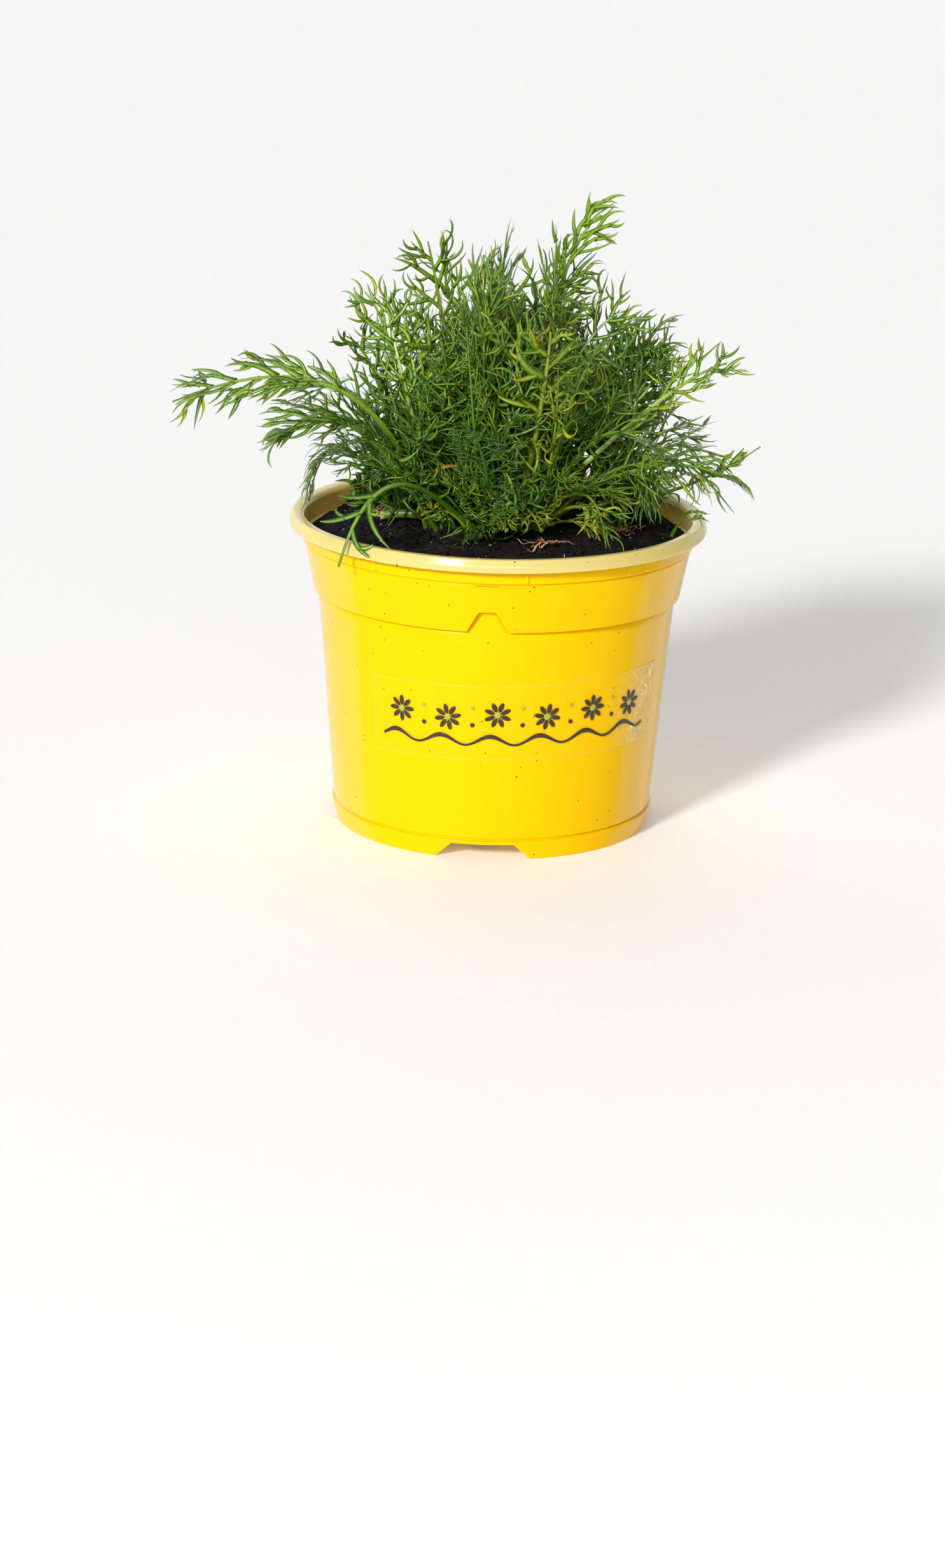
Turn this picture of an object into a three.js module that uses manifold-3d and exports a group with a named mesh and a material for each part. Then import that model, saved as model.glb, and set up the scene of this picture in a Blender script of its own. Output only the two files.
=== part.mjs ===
// Potted chamomile: a clump of young feathery plants in a thin-walled round nursery pot.
// Millimetres, +Z up. The origin is the centre of the pot's base, on the surface it stands on.
// The front of the pot, with its label, faces -Y.

import * as THREE from 'three';
import { mergeVertices } from 'three/addons/utils/BufferGeometryUtils.js';
import Module from 'manifold-3d';

const wasm = await Module();
wasm.setup();

// Driving dimensions of the pot
const POT_HEIGHT = 90.1;
const RIM_RADIUS = 60;
const RIM_INNER_RADIUS = 56.6;
const RIM_UNDERSIDE = 86.4;
const RIM_CORNER = 0.9;
const LIP_THICKNESS = 1.2;
const NECK_RADIUS = 56.3;
const NECK_BOTTOM = 82.6;
const SHOULDER_TOP_RADIUS = 55.8;
const SHOULDER_BOTTOM_RADIUS = 52.9;
const STEP_HEIGHT = 68;
const WALL_TOP_RADIUS = 51.5;
const WALL_FOOT_RADIUS = 46.2;
const FOOT_BAND_HEIGHT = 5.6;
const FOOT_BAND_RADIUS = 46.6;
const FOOT_RADIUS = 45.7;
const WALL = 0.9;
const FLOOR = 1;
const FOOT_BAND_SLOPE = 0.3;
const POT_SEGMENTS = 48;

// Stacking notches in the step, and drain channels under the base
const QUARTERS = 4;
const NOTCH_BOTTOM_WIDTH = 11.6;
const NOTCH_TOP_WIDTH = 4.7;
const NOTCH_HEIGHT = 6;
const NOTCH_TURN = -2.7;
const CHANNEL_BOTTOM_WIDTH = 27;
const CHANNEL_TOP_WIDTH = 17.6;
const CHANNEL_HEIGHT = 4.5;
const CHANNEL_INNER_END = 25;
const CHANNEL_TURN = -3;
const DRAIN_HOLE_RADIUS = 4;
const DRAIN_HOLE_PLACE = 34;
const DRAIN_HOLE_SIDES = 16;

// How far a cutting shape runs past the face it opens, and the distance at which corners are one
const CUT_OVERRUN = 1;
const DRAIN_CUT_LENGTH = 20;
const MERGE_TOLERANCE = 1e-4;

// Compost, label and the clearance between pieces that touch
const GAP = 0.3;
const SOIL_CENTRE_HEIGHT = 86;
const SOIL_EDGE_DROP = 2.6;
const SOIL_EDGE_RADIUS = 54.6;
const SOIL_RINGS = 3;
const LABEL_LENGTH = 93;
const LABEL_HEIGHT = 22;
const LABEL_THICKNESS = 0.2;
const LABEL_GAP = 0.4;
const LABEL_MID_HEIGHT = 41.2;
const LABEL_MID_TURN = 11;
const LABEL_TILT = 1.1;
const LABEL_STEPS = 20;

// Crowns, petioles and leaflets
const CROWN_RADIUS = 2.4;
const CROWN_DEPTH = 9;
const CROWN_SIDES = 10;
const PETIOLE_RADIUS = 1.15;
const LEAF_TIP_RADIUS = 0.4;
const LEAF_BASE_LIFT = 2;
const LEAF_SIDES = 4;
const LEAF_STEPS = 6;
const LEAFLET_PAIRS = 4;
const LEAFLET_FIRST = 0.46;
const LEAFLET_LAST = 0.9;
const LEAFLET_ANGLE = 50;
const LEAFLET_BASE_SHARE = 0.85;
const LEAFLET_FLATNESS = 0.7;
const LEAFLET_SIDES = 3;
const LEAFLET_LENGTHS = [0.72, 1, 0.86, 0.55];

// Radius and height of a crown's section, from the foot of its root collar to its growing top
const CROWN_PROFILE = [[0, -9], [1.1, -8.1], [2.4, -1], [2.4, 2], [1.7, 5.6], [0.7, 7.2], [0, 7.4]];

// Shares of a rod's length at which its clearance is measured, and of a leaflet's at which it is
// cut short to stay clear
const GAP_STEPS = 8;
const POT_CLEARANCE_SHARES = [0, 0.25, 0.5, 0.75, 1];
const LEAFLET_CUTS = [1, 0.75, 0.5];

// Each crown's place on the compost, and its leaves in order round it: the point that the
// leaf's midrib passes half way, the leaf's tip, and the length of its longest leaflet
const CROWNS = [
  {
    name: 'front',
    at: [-5, -12],
    leaves: [
      { via: [-25, -15, 117], tip: [-39, -21, 126], leaflet: 9 },
      { via: [-30, -32, 104], tip: [-44, -46, 84], leaflet: 12 },
      { via: [-10, -20, 99], tip: [-16, -25, 104], leaflet: 11 },
      { via: [-8, -17, 124], tip: [-11, -15, 153], leaflet: 12 },
      { via: [-4, -26, 108], tip: [-8, -33, 120], leaflet: 12 },
      { via: [1, -21, 98], tip: [4, -29, 96], leaflet: 10 },
    ],
  },
  {
    name: 'left',
    at: [-17, -5],
    leaves: [
      { via: [-28, 0, 128], tip: [-34, 13, 152], leaflet: 10 },
      { via: [-46, -15, 127.5], tip: [-93, -8, 121.5], leaflet: 12 },
      { via: [-42, -19, 118], tip: [-63, -21, 113], leaflet: 11 },
      { via: [-32, -20, 106], tip: [-45, -26, 106], leaflet: 11 },
    ],
  },
  {
    name: 'right',
    at: [9, -8],
    leaves: [
      { via: [11, -18, 124], tip: [13, -24, 147], leaflet: 14 },
      { via: [23, -22, 101], tip: [30, -37, 89], leaflet: 11 },
      { via: [28, -16, 116], tip: [46, -24, 111], leaflet: 13 },
      { via: [42, -9, 106], tip: [69, -7, 101], leaflet: 10 },
      { via: [42, 0, 121], tip: [64, 4, 134], leaflet: 8.5 },
    ],
  },
  {
    name: 'middle',
    at: [2, 6],
    leaves: [
      { via: [20, 11, 130], tip: [35, 12, 147], leaflet: 12 },
      { via: [15, 10, 150], tip: [27, 6, 175], leaflet: 11 },
      { via: [-2, 14, 134], tip: [0, 17, 160], leaflet: 12 },
      { via: [-5, 3, 130], tip: [-6, 0, 164], leaflet: 10 },
      { via: [13, 2, 136], tip: [13, -3, 167], leaflet: 13 },
    ],
  },
  {
    name: 'far_left',
    at: [-27, 14],
    leaves: [
      { via: [-31, 20, 129], tip: [-40, 22, 149], leaflet: 9 },
      { via: [-42, 34, 116], tip: [-62, 46, 110], leaflet: 11 },
      { via: [-46, 10, 106], tip: [-55, 9, 90], leaflet: 8 },
      { via: [-35, 8, 124], tip: [-45, 6, 139], leaflet: 8 },
      { via: [-36, 3, 104], tip: [-50, 1, 105], leaflet: 9 },
    ],
  },
  {
    name: 'back_left',
    at: [-9, 22],
    leaves: [
      { via: [-11, 39, 130], tip: [-14, 46, 153], leaflet: 11 },
      { via: [-24, 44, 122], tip: [-42, 62, 124], leaflet: 12 },
      { via: [-21, 27, 124], tip: [-30, 28, 146], leaflet: 10 },
      { via: [-16, 20, 134], tip: [-22, 15, 165], leaflet: 11 },
    ],
  },
  {
    name: 'back',
    at: [11, 26],
    leaves: [
      { via: [14, 26, 131], tip: [18, 22, 156], leaflet: 10 },
      { via: [26, 46, 120], tip: [38, 60, 120], leaflet: 11 },
      { via: [14, 54, 116], tip: [16, 80, 112], leaflet: 13 },
      { via: [5, 42, 132], tip: [2, 52, 149], leaflet: 11 },
    ],
  },
  {
    name: 'far_right',
    at: [31, 17],
    leaves: [
      { via: [50, 9, 109], tip: [59, 4, 98], leaflet: 10 },
      { via: [46, 22, 109], tip: [55, 24, 104], leaflet: 9 },
      { via: [42, 38, 112], tip: [50, 52, 106], leaflet: 10 },
      { via: [34, 26, 127], tip: [50, 29, 131], leaflet: 12 },
    ],
  },
];

// A seedling leaf that arches over the rim on the right
const RIM_LEAF = { base: [50, -1, 84.7], via: [54.5, -8, 93.5], tip: [57.5, -17.5, 91.4], leaflet: 3 };

// A petiole that was cut short, lying low over the compost on the left
const CUT_STALK = { from: [-20, 0.6, 87.5], to: [-34, 3, 86.9], radius: 1.5 };

// Dried leaflets that lie on the compost: place, the way they point and their length
const DRY_LEAVES = [
  { name: 'dry_leaf_front', at: [18, -22], heading: -165, length: 15 },
  { name: 'dry_leaf_left', at: [-36, 12], heading: 60, length: 9 },
  { name: 'dry_leaf_right', at: [30, -6], heading: 25, length: 12 },
];
const DRY_RADIUS = 0.55;
const DRY_FORK_ANGLES = [-32, -12, 14, 36];
const DRY_FORK_START = 0.35;

// Surface colours and roughness
const LOOKS = {
  pot: { color: 0xf6d800, roughness: 0.35 },
  soil: { color: 0x261d1a, roughness: 1 },
  label: { color: 0xf2ecc8, roughness: 0.15 },
  crown: { color: 0x6f9a3c, roughness: 0.6 },
  leaf: { color: 0x4a8a2a, roughness: 0.55 },
  dry: { color: 0xb9794c, roughness: 0.8 },
};

const vector = (values) => new THREE.Vector3(...values);
const radians = THREE.MathUtils.degToRad;
const mix = THREE.MathUtils.lerp;

// Outer radius of the tapered wall below the step, carried on above it for the notches
function wallRadius(z) {
  const share = (z - FOOT_BAND_HEIGHT) / (STEP_HEIGHT - FOOT_BAND_HEIGHT);
  return mix(WALL_FOOT_RADIUS, WALL_TOP_RADIUS, share);
}

// Height of the compost, mounded a little towards the middle of the pot
function soilTop(x, y) {
  const share = Math.hypot(x, y) / SOIL_EDGE_RADIUS;
  return SOIL_CENTRE_HEIGHT - SOIL_EDGE_DROP * share * share;
}

// A closed geometry as a solid: shared corners merged, flat triangles dropped, faces outward
function toSolid(geometry) {
  const bare = geometry.clone();
  bare.deleteAttribute('normal');
  bare.deleteAttribute('uv');
  const merged = mergeVertices(bare, MERGE_TOLERANCE);
  const points = merged.attributes.position.array;
  const corners = [];
  let volume = 0;
  for (let i = 0; i < merged.index.count; i += 3) {
    const [a, b, c] = [0, 1, 2].map((k) => merged.index.getX(i + k));
    if (a !== b && b !== c && c !== a) {
      corners.push(a, b, c);
      const [p, q, r] = [a, b, c].map((k) => new THREE.Vector3().fromArray(points, k * 3));
      volume += p.dot(q.cross(r));
    }
  }
  if (volume < 0) {
    corners.reverse();
  }
  const mesh = new wasm.Mesh({
    numProp: 3,
    vertProperties: new Float32Array(points),
    triVerts: new Uint32Array(corners),
  });
  return new wasm.Manifold(mesh);
}

// A solid back as a flat-shaded three.js geometry
function toGeometry(solid) {
  const { vertProperties, triVerts } = solid.getMesh();
  const geometry = new THREE.BufferGeometry();
  geometry.setAttribute('position', new THREE.BufferAttribute(new Float32Array(vertProperties), 3));
  geometry.setIndex([...triVerts]);
  geometry.computeVertexNormals();
  return geometry;
}

// A profile of [radius, height] pairs turned about the Z axis
function turned(profile, segments) {
  const points = profile.map(([r, z]) => new THREE.Vector2(r, z));
  return new THREE.LatheGeometry(points, segments).rotateX(Math.PI / 2);
}

// A straight bar with a trapezoid section that runs out towards -Y, then turned about Z
function wedge({ bottomWidth, topWidth, bottom, top, inner, outer, turn }) {
  const outline = new THREE.Shape();
  outline.moveTo(-bottomWidth / 2, bottom);
  outline.lineTo(bottomWidth / 2, bottom);
  outline.lineTo(topWidth / 2, top);
  outline.lineTo(-topWidth / 2, top);
  outline.closePath();
  const bar = new THREE.ExtrudeGeometry(outline, { depth: outer - inner, bevelEnabled: false });
  bar.rotateX(Math.PI / 2).translate(0, -inner, 0).rotateZ(radians(turn));
  return toSolid(bar);
}

// The same wedge at each quarter of the pot, as one solid
function atQuarters(settings) {
  const wedges = [];
  for (let quarter = 0; quarter < QUARTERS; quarter += 1) {
    wedges.push(wedge({ ...settings, turn: settings.turn + (quarter * 360) / QUARTERS }));
  }
  return wedges.reduce((all, one) => all.add(one));
}

// The drain channels, or with a thickness the shells that cover them inside the pot
function channels(thickness) {
  return atQuarters({
    bottomWidth: CHANNEL_BOTTOM_WIDTH + 2 * thickness,
    topWidth: CHANNEL_TOP_WIDTH + 2 * thickness,
    bottom: -CUT_OVERRUN,
    top: CHANNEL_HEIGHT + thickness,
    inner: CHANNEL_INNER_END - thickness,
    outer: RIM_RADIUS,
    turn: CHANNEL_TURN,
  });
}

// The notches that rise from the step: what lies outside the tapered wall's own surface
function notches(thickness) {
  const bars = atQuarters({
    bottomWidth: NOTCH_BOTTOM_WIDTH + 2 * thickness,
    topWidth: NOTCH_TOP_WIDTH + 2 * thickness,
    bottom: STEP_HEIGHT - CUT_OVERRUN,
    top: STEP_HEIGHT + NOTCH_HEIGHT + thickness,
    inner: WALL_FOOT_RADIUS,
    outer: RIM_RADIUS,
    turn: NOTCH_TURN,
  });
  const wallCone = turned([
    [0, 0],
    [wallRadius(0) - thickness, 0],
    [wallRadius(POT_HEIGHT) - thickness, POT_HEIGHT],
    [0, POT_HEIGHT],
  ], POT_SEGMENTS);
  return bars.subtract(toSolid(wallCone));
}

// Inside faces of the pot from the floor to a given height, moved inwards by a margin
function insideProfile(margin, floor, top) {
  const inner = WALL + margin;
  const step = STEP_HEIGHT + inner;
  return [
    [0, floor],
    [wallRadius(floor) - inner, floor],
    [wallRadius(step) - inner, step],
    [SHOULDER_BOTTOM_RADIUS - inner, step],
    [SHOULDER_TOP_RADIUS - inner, NECK_BOTTOM],
    ...top,
  ];
}

function makePot() {
  const outside = turned([
    [0, 0],
    [FOOT_RADIUS, 0],
    [FOOT_BAND_RADIUS, FOOT_BAND_HEIGHT - FOOT_BAND_SLOPE],
    [WALL_FOOT_RADIUS, FOOT_BAND_HEIGHT],
    [WALL_TOP_RADIUS, STEP_HEIGHT],
    [SHOULDER_BOTTOM_RADIUS, STEP_HEIGHT],
    [SHOULDER_TOP_RADIUS, NECK_BOTTOM],
    [NECK_RADIUS, NECK_BOTTOM],
    [NECK_RADIUS, POT_HEIGHT - LIP_THICKNESS],
    [RIM_RADIUS - LIP_THICKNESS, POT_HEIGHT - LIP_THICKNESS],
    [RIM_RADIUS - LIP_THICKNESS, RIM_UNDERSIDE],
    [RIM_RADIUS, RIM_UNDERSIDE],
    [RIM_RADIUS, POT_HEIGHT - RIM_CORNER],
    [RIM_RADIUS - RIM_CORNER, POT_HEIGHT],
    [0, POT_HEIGHT],
  ], POT_SEGMENTS);
  const inside = turned(insideProfile(0, FLOOR, [
    [NECK_RADIUS - WALL, NECK_BOTTOM + WALL],
    [NECK_RADIUS - WALL, POT_HEIGHT - 2 * LIP_THICKNESS],
    [RIM_INNER_RADIUS, POT_HEIGHT],
    [RIM_INNER_RADIUS, POT_HEIGHT + CUT_OVERRUN],
    [0, POT_HEIGHT + CUT_OVERRUN],
  ]), POT_SEGMENTS);
  const hollow = toSolid(inside).subtract(channels(WALL)).subtract(notches(WALL));
  let pot = toSolid(outside).subtract(notches(0)).subtract(channels(0)).subtract(hollow);
  for (let quarter = 0; quarter < QUARTERS; quarter += 1) {
    const [radius, length, sides] = [DRAIN_HOLE_RADIUS, DRAIN_CUT_LENGTH, DRAIN_HOLE_SIDES];
    const hole = new THREE.CylinderGeometry(radius, radius, length, sides);
    hole.rotateX(Math.PI / 2).translate(0, -DRAIN_HOLE_PLACE, 0);
    hole.rotateZ(radians(CHANNEL_TURN + (quarter * 360) / QUARTERS));
    pot = pot.subtract(toSolid(hole));
  }
  return toGeometry(pot);
}

function makeSoil() {
  const top = [];
  for (let ring = 0; ring <= SOIL_RINGS; ring += 1) {
    const radius = (SHOULDER_TOP_RADIUS - WALL - GAP) * (1 - ring / SOIL_RINGS);
    top.push([radius, soilTop(radius, 0)]);
  }
  const block = turned(insideProfile(GAP, FLOOR + GAP, top), POT_SEGMENTS);
  let soil = toSolid(block).subtract(channels(WALL + GAP)).subtract(notches(WALL + GAP));
  for (const crown of CROWNS) {
    const [x, y] = crown.at;
    const radius = CROWN_RADIUS + GAP;
    const socket = new THREE.CylinderGeometry(radius, radius, 2 * (CROWN_DEPTH + GAP), CROWN_SIDES);
    socket.rotateX(Math.PI / 2).translate(x, y, soilTop(x, y));
    soil = soil.subtract(toSolid(socket));
  }
  return toGeometry(soil);
}

// The clear film label: a flat sheet wrapped on the tapered wall, a little off its surface
function makeLabel() {
  const sheet = new THREE.BoxGeometry(LABEL_LENGTH, LABEL_THICKNESS, LABEL_HEIGHT, LABEL_STEPS, 1, 1);
  const slope = (WALL_TOP_RADIUS - WALL_FOOT_RADIUS) / (STEP_HEIGHT - FOOT_BAND_HEIGHT);
  const middle = wallRadius(LABEL_MID_HEIGHT);
  const spots = sheet.attributes.position;
  for (let i = 0; i < spots.count; i += 1) {
    const along = spots.getX(i);
    const fan = (along / middle) * slope;
    const z = LABEL_MID_HEIGHT + spots.getZ(i) + (along * fan) / 2 + along * Math.sin(radians(LABEL_TILT));
    const radius = wallRadius(z) + LABEL_GAP + LABEL_THICKNESS / 2 - spots.getY(i);
    const azimuth = along / middle + radians(LABEL_MID_TURN);
    spots.setXYZ(i, radius * Math.sin(azimuth), -radius * Math.cos(azimuth), z);
  }
  return toGeometry(toSolid(sheet));
}

// The short stem of one plant: a root collar in the compost, and a blunt growing top
function makeCrown() {
  return toGeometry(toSolid(turned(CROWN_PROFILE, CROWN_SIDES)));
}

// A midrib: the quadratic curve from base to tip that passes via at its half way
function midrib({ base, via, tip }) {
  const control = via.clone().multiplyScalar(2).addScaledVector(base, -0.5).addScaledVector(tip, -0.5);
  return new THREE.QuadraticBezierCurve3(base, control, tip);
}

// Leaf bases spread evenly round a crown, turned so that they face their leaves' headings
function leafBases(crown) {
  const [x, y] = crown.at;
  const step = (2 * Math.PI) / crown.leaves.length;
  const sum = new THREE.Vector2();
  crown.leaves.forEach((leaf, i) => {
    const heading = Math.atan2(leaf.via[1] - y, leaf.via[0] - x) - i * step;
    sum.add(new THREE.Vector2(Math.cos(heading), Math.sin(heading)));
  });
  const reach = CROWN_RADIUS + GAP + PETIOLE_RADIUS;
  return crown.leaves.map((leaf, i) => {
    const angle = sum.angle() + i * step;
    const height = soilTop(x, y) + LEAF_BASE_LIFT;
    return new THREE.Vector3(x + reach * Math.cos(angle), y + reach * Math.sin(angle), height);
  });
}

// The level direction across a leaf, square to the way from its base to its tip
function acrossLeaf(base, tip) {
  return new THREE.Vector3(base.y - tip.y, tip.x - base.x, 0).normalize();
}

// Radius of a midrib at a share of its length
const ribRadius = (share) => mix(PETIOLE_RADIUS, LEAF_TIP_RADIUS, share);

// Least distance between two tapered rods, less their radii, by stepping along both
function rodGap(one, other) {
  let least = Infinity;
  for (let i = 0; i <= GAP_STEPS; i += 1) {
    const p = one.start.clone().lerp(one.end, i / GAP_STEPS);
    const near = new THREE.Line3(other.start, other.end);
    const share = near.closestPointToPointParameter(p, true);
    const spot = near.at(share, new THREE.Vector3());
    const reach = mix(one.startRadius, one.endRadius, i / GAP_STEPS);
    const otherReach = mix(other.startRadius, other.endRadius, share);
    least = Math.min(least, p.distanceTo(spot) - reach - otherReach);
  }
  return least;
}

// Whether a rod stays above the compost and the rim, or outside the pot
function clearsPot(rod) {
  return POT_CLEARANCE_SHARES.every((share) => {
    const spot = rod.start.clone().lerp(rod.end, share);
    const margin = GAP + mix(rod.startRadius, rod.endRadius, share);
    const out = Math.hypot(spot.x, spot.y);
    const outside = out > RIM_RADIUS + margin;
    const aboveRim = spot.z > POT_HEIGHT + margin;
    const aboveSoil = out < RIM_INNER_RADIUS - 2 * margin && spot.z > soilTop(spot.x, spot.y) + margin;
    return outside || aboveRim || aboveSoil;
  });
}

// The rods that a midrib is made of, for the clearance between leaves
function ribRods(curve) {
  const rods = [];
  for (let i = 0; i < LEAF_STEPS; i += 1) {
    const [from, to] = [i / LEAF_STEPS, (i + 1) / LEAF_STEPS];
    rods.push({
      start: curve.getPoint(from),
      end: curve.getPoint(to),
      startRadius: ribRadius(from),
      endRadius: ribRadius(to),
    });
  }
  return rods;
}

// A tapered bar bent along a curve: its height becomes the way along it
function bent(curve, across, startRadius, endRadius) {
  const bar = new THREE.CylinderGeometry(endRadius, startRadius, 1, LEAF_SIDES, LEAF_STEPS);
  bar.translate(0, 0.5, 0);
  const spots = bar.attributes.position;
  for (let i = 0; i < spots.count; i += 1) {
    const share = THREE.MathUtils.clamp(spots.getY(i), 0, 1);
    const spot = curve.getPoint(share);
    const through = across.clone().cross(curve.getTangent(share)).normalize();
    spot.addScaledVector(across, spots.getX(i)).addScaledVector(through, spots.getZ(i));
    spots.setXYZ(i, spot.x, spot.y, spot.z);
  }
  return toSolid(bar);
}

// A flat tapered leaflet along a rod
function leaflet(rod, across) {
  const forward = rod.end.clone().sub(rod.start);
  const length = forward.length();
  forward.normalize();
  const through = across.clone().cross(forward).normalize();
  const side = forward.clone().cross(through);
  const blade = new THREE.ConeGeometry(rod.startRadius, length, LEAFLET_SIDES);
  blade.translate(0, length / 2, 0).scale(1, 1, LEAFLET_FLATNESS);
  blade.applyMatrix4(new THREE.Matrix4().makeBasis(side, forward, through));
  blade.translate(rod.start.x, rod.start.y, rod.start.z);
  return toSolid(blade);
}

// Leaflet rods in pairs along a midrib, as long as they can be clear of everything else
function leafletRods(leaf, others) {
  const rods = [];
  for (let pair = 0; pair < LEAFLET_PAIRS; pair += 1) {
    const share = mix(LEAFLET_FIRST, LEAFLET_LAST, pair / (LEAFLET_PAIRS - 1));
    const forward = leaf.curve.getTangent(share);
    for (const hand of [-1, 1]) {
      const way = forward.clone().multiplyScalar(Math.cos(radians(LEAFLET_ANGLE)));
      way.addScaledVector(leaf.across, hand * Math.sin(radians(LEAFLET_ANGLE)));
      const rod = LEAFLET_CUTS.map((cut) => {
        const start = leaf.curve.getPoint(share);
        const end = start.clone().addScaledVector(way, leaf.leaflet * LEAFLET_LENGTHS[pair] * cut);
        return { start, end, startRadius: LEAFLET_BASE_SHARE * ribRadius(share), endRadius: 0 };
      }).find((tried) => clearsPot(tried) && others.every((other) => rodGap(tried, other) > GAP));
      if (rod) {
        rods.push(rod);
      }
    }
  }
  return rods;
}

function makeLeaf(leaf, leaflets) {
  const rib = bent(leaf.curve, leaf.across, PETIOLE_RADIUS, LEAF_TIP_RADIUS);
  return toGeometry(leaflets.reduce((solid, rod) => solid.add(leaflet(rod, leaf.across)), rib));
}

// A dried leaf that lies flat: a midrib with a fan of thin forks at its end
function makeDryLeaf({ at, heading, length }) {
  const point = (angle, reach, from) => {
    const x = from[0] + reach * Math.cos(radians(angle));
    const y = from[1] + reach * Math.sin(radians(angle));
    return [x, y];
  };
  const raised = ([x, y]) => new THREE.Vector3(x, y, soilTop(x, y) + GAP + DRY_RADIUS);
  const fork = point(heading, length * DRY_FORK_START, at);
  const level = new THREE.Vector3(-Math.sin(radians(heading)), Math.cos(radians(heading)), 0);
  const end = point(heading, length, at);
  const rib = new THREE.LineCurve3(raised(at), raised(end));
  return toGeometry(DRY_FORK_ANGLES.reduce((solid, angle) => {
    const tip = point(heading + angle, length * (1 - DRY_FORK_START), fork);
    const rod = { start: raised(fork), end: raised(tip), startRadius: DRY_RADIUS };
    return solid.add(leaflet(rod, level));
  }, bent(rib, level, DRY_RADIUS, LEAF_TIP_RADIUS)));
}

function makeCutStalk() {
  const way = new THREE.LineCurve3(vector(CUT_STALK.from), vector(CUT_STALK.to));
  const across = acrossLeaf(way.v1, way.v2);
  return toGeometry(bent(way, across, CUT_STALK.radius, CUT_STALK.radius));
}

const plant = new THREE.Group();

// Each piece is a mesh of its own with a material of its own
function addPiece(name, geometry, look) {
  const material = new THREE.MeshStandardMaterial({ ...LOOKS[look], metalness: 0 });
  const mesh = new THREE.Mesh(geometry, material);
  mesh.name = name;
  plant.add(mesh);
  return mesh;
}

addPiece('pot', makePot(), 'pot');
addPiece('soil', makeSoil(), 'soil');
addPiece('label_film', makeLabel(), 'label');

const leaves = [];
for (const crown of CROWNS) {
  const [x, y] = crown.at;
  addPiece(`crown_${crown.name}`, makeCrown(), 'crown').position.set(x, y, soilTop(x, y));
  const bases = leafBases(crown);
  crown.leaves.forEach((leaf, i) => {
    const [via, tip] = [vector(leaf.via), vector(leaf.tip)];
    const curve = midrib({ base: bases[i], via, tip });
    const across = acrossLeaf(bases[i], tip);
    leaves.push({ name: `leaf_${crown.name}_${i + 1}`, curve, across, leaflet: leaf.leaflet });
  });
}
const rimBase = vector(RIM_LEAF.base);
leaves.push({
  name: 'leaf_over_rim',
  curve: midrib({ base: rimBase, via: vector(RIM_LEAF.via), tip: vector(RIM_LEAF.tip) }),
  across: acrossLeaf(rimBase, vector(RIM_LEAF.tip)),
  leaflet: RIM_LEAF.leaflet,
});

// All midribs come first, so that no leaflet is grown through one
const ribs = new Map(leaves.map((leaf) => [leaf, ribRods(leaf.curve)]));
const grown = new Map();
for (const leaf of leaves) {
  const others = leaves.filter((other) => other !== leaf);
  const taken = others.flatMap((other) => [...ribs.get(other), ...(grown.get(other) ?? [])]);
  grown.set(leaf, leafletRods(leaf, taken));
  addPiece(leaf.name, makeLeaf(leaf, grown.get(leaf)), 'leaf');
}

addPiece('cut_stalk', makeCutStalk(), 'leaf');
for (const dry of DRY_LEAVES) {
  addPiece(dry.name, makeDryLeaf(dry), 'dry');
}

export default plant;
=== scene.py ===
"""The looks of a potted chamomile: a clump of feathery leaves in a thin yellow nursery pot.

Sizes here are in millimetres, in the part's own frame: +Z up, the front towards -Y, the origin at
the centre of the pot's base. add_piece turns them into metres.
"""

import math
from typing import NamedTuple

import bpy
import numpy as np
from mathutils import Matrix


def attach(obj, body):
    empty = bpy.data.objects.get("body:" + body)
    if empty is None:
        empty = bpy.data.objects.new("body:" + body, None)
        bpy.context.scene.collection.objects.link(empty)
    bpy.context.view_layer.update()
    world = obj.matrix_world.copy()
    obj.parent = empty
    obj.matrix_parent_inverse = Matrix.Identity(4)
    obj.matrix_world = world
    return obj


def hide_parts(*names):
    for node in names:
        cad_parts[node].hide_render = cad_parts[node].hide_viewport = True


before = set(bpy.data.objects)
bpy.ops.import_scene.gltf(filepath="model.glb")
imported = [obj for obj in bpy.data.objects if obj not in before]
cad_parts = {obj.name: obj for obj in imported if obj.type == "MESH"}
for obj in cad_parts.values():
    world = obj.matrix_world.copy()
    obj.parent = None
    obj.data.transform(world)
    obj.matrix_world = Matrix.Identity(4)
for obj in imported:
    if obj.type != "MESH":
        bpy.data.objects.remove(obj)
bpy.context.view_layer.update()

MM = 0.001
BODY = "root"
UP = np.array([0.0, 0.0, 1.0])
FULL_TURN = 2 * math.pi
QUARTER = math.pi / 2

# Pot, as the frame's pot node has it
POT_HEIGHT = 90.1
RIM_RADIUS = 60.0
RIM_UNDERSIDE = 86.4
RIM_BELLY = 6.3
RIM_EDGE_ROUNDING = 0.7
RIM_INNER_ROUNDING = 1.7
LIP = 1.2
NECK_RADIUS = 56.3
NECK_BOTTOM = 82.6
SHOULDER_TOP_RADIUS = 55.8
SHOULDER_BOTTOM_RADIUS = 52.9
STEP_HEIGHT = 68.0
WALL_TOP_RADIUS = 51.5
WALL_FOOT_RADIUS = 46.2
FOOT_BAND_HEIGHT = 5.6
FOOT_BAND_RADIUS = 46.6
FOOT_RADIUS = 45.7
FOOT_ROUNDING = 0.4
WALL = 0.9
FLOOR = 1.0
FOOT_GROOVE = 0.5
STEP_GROOVE = 0.35
NECK_GROOVE = 0.35
NOTCH_HALF_WIDTHS = (5.8, 2.35)
NOTCH_HEIGHT = 6.0
NOTCH_TURN = math.radians(-2.7)
CHANNEL_HALF_WIDTHS = (13.5, 8.8)
CHANNEL_HEIGHT = 4.5
CHANNEL_INNER_END = 25.0
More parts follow.
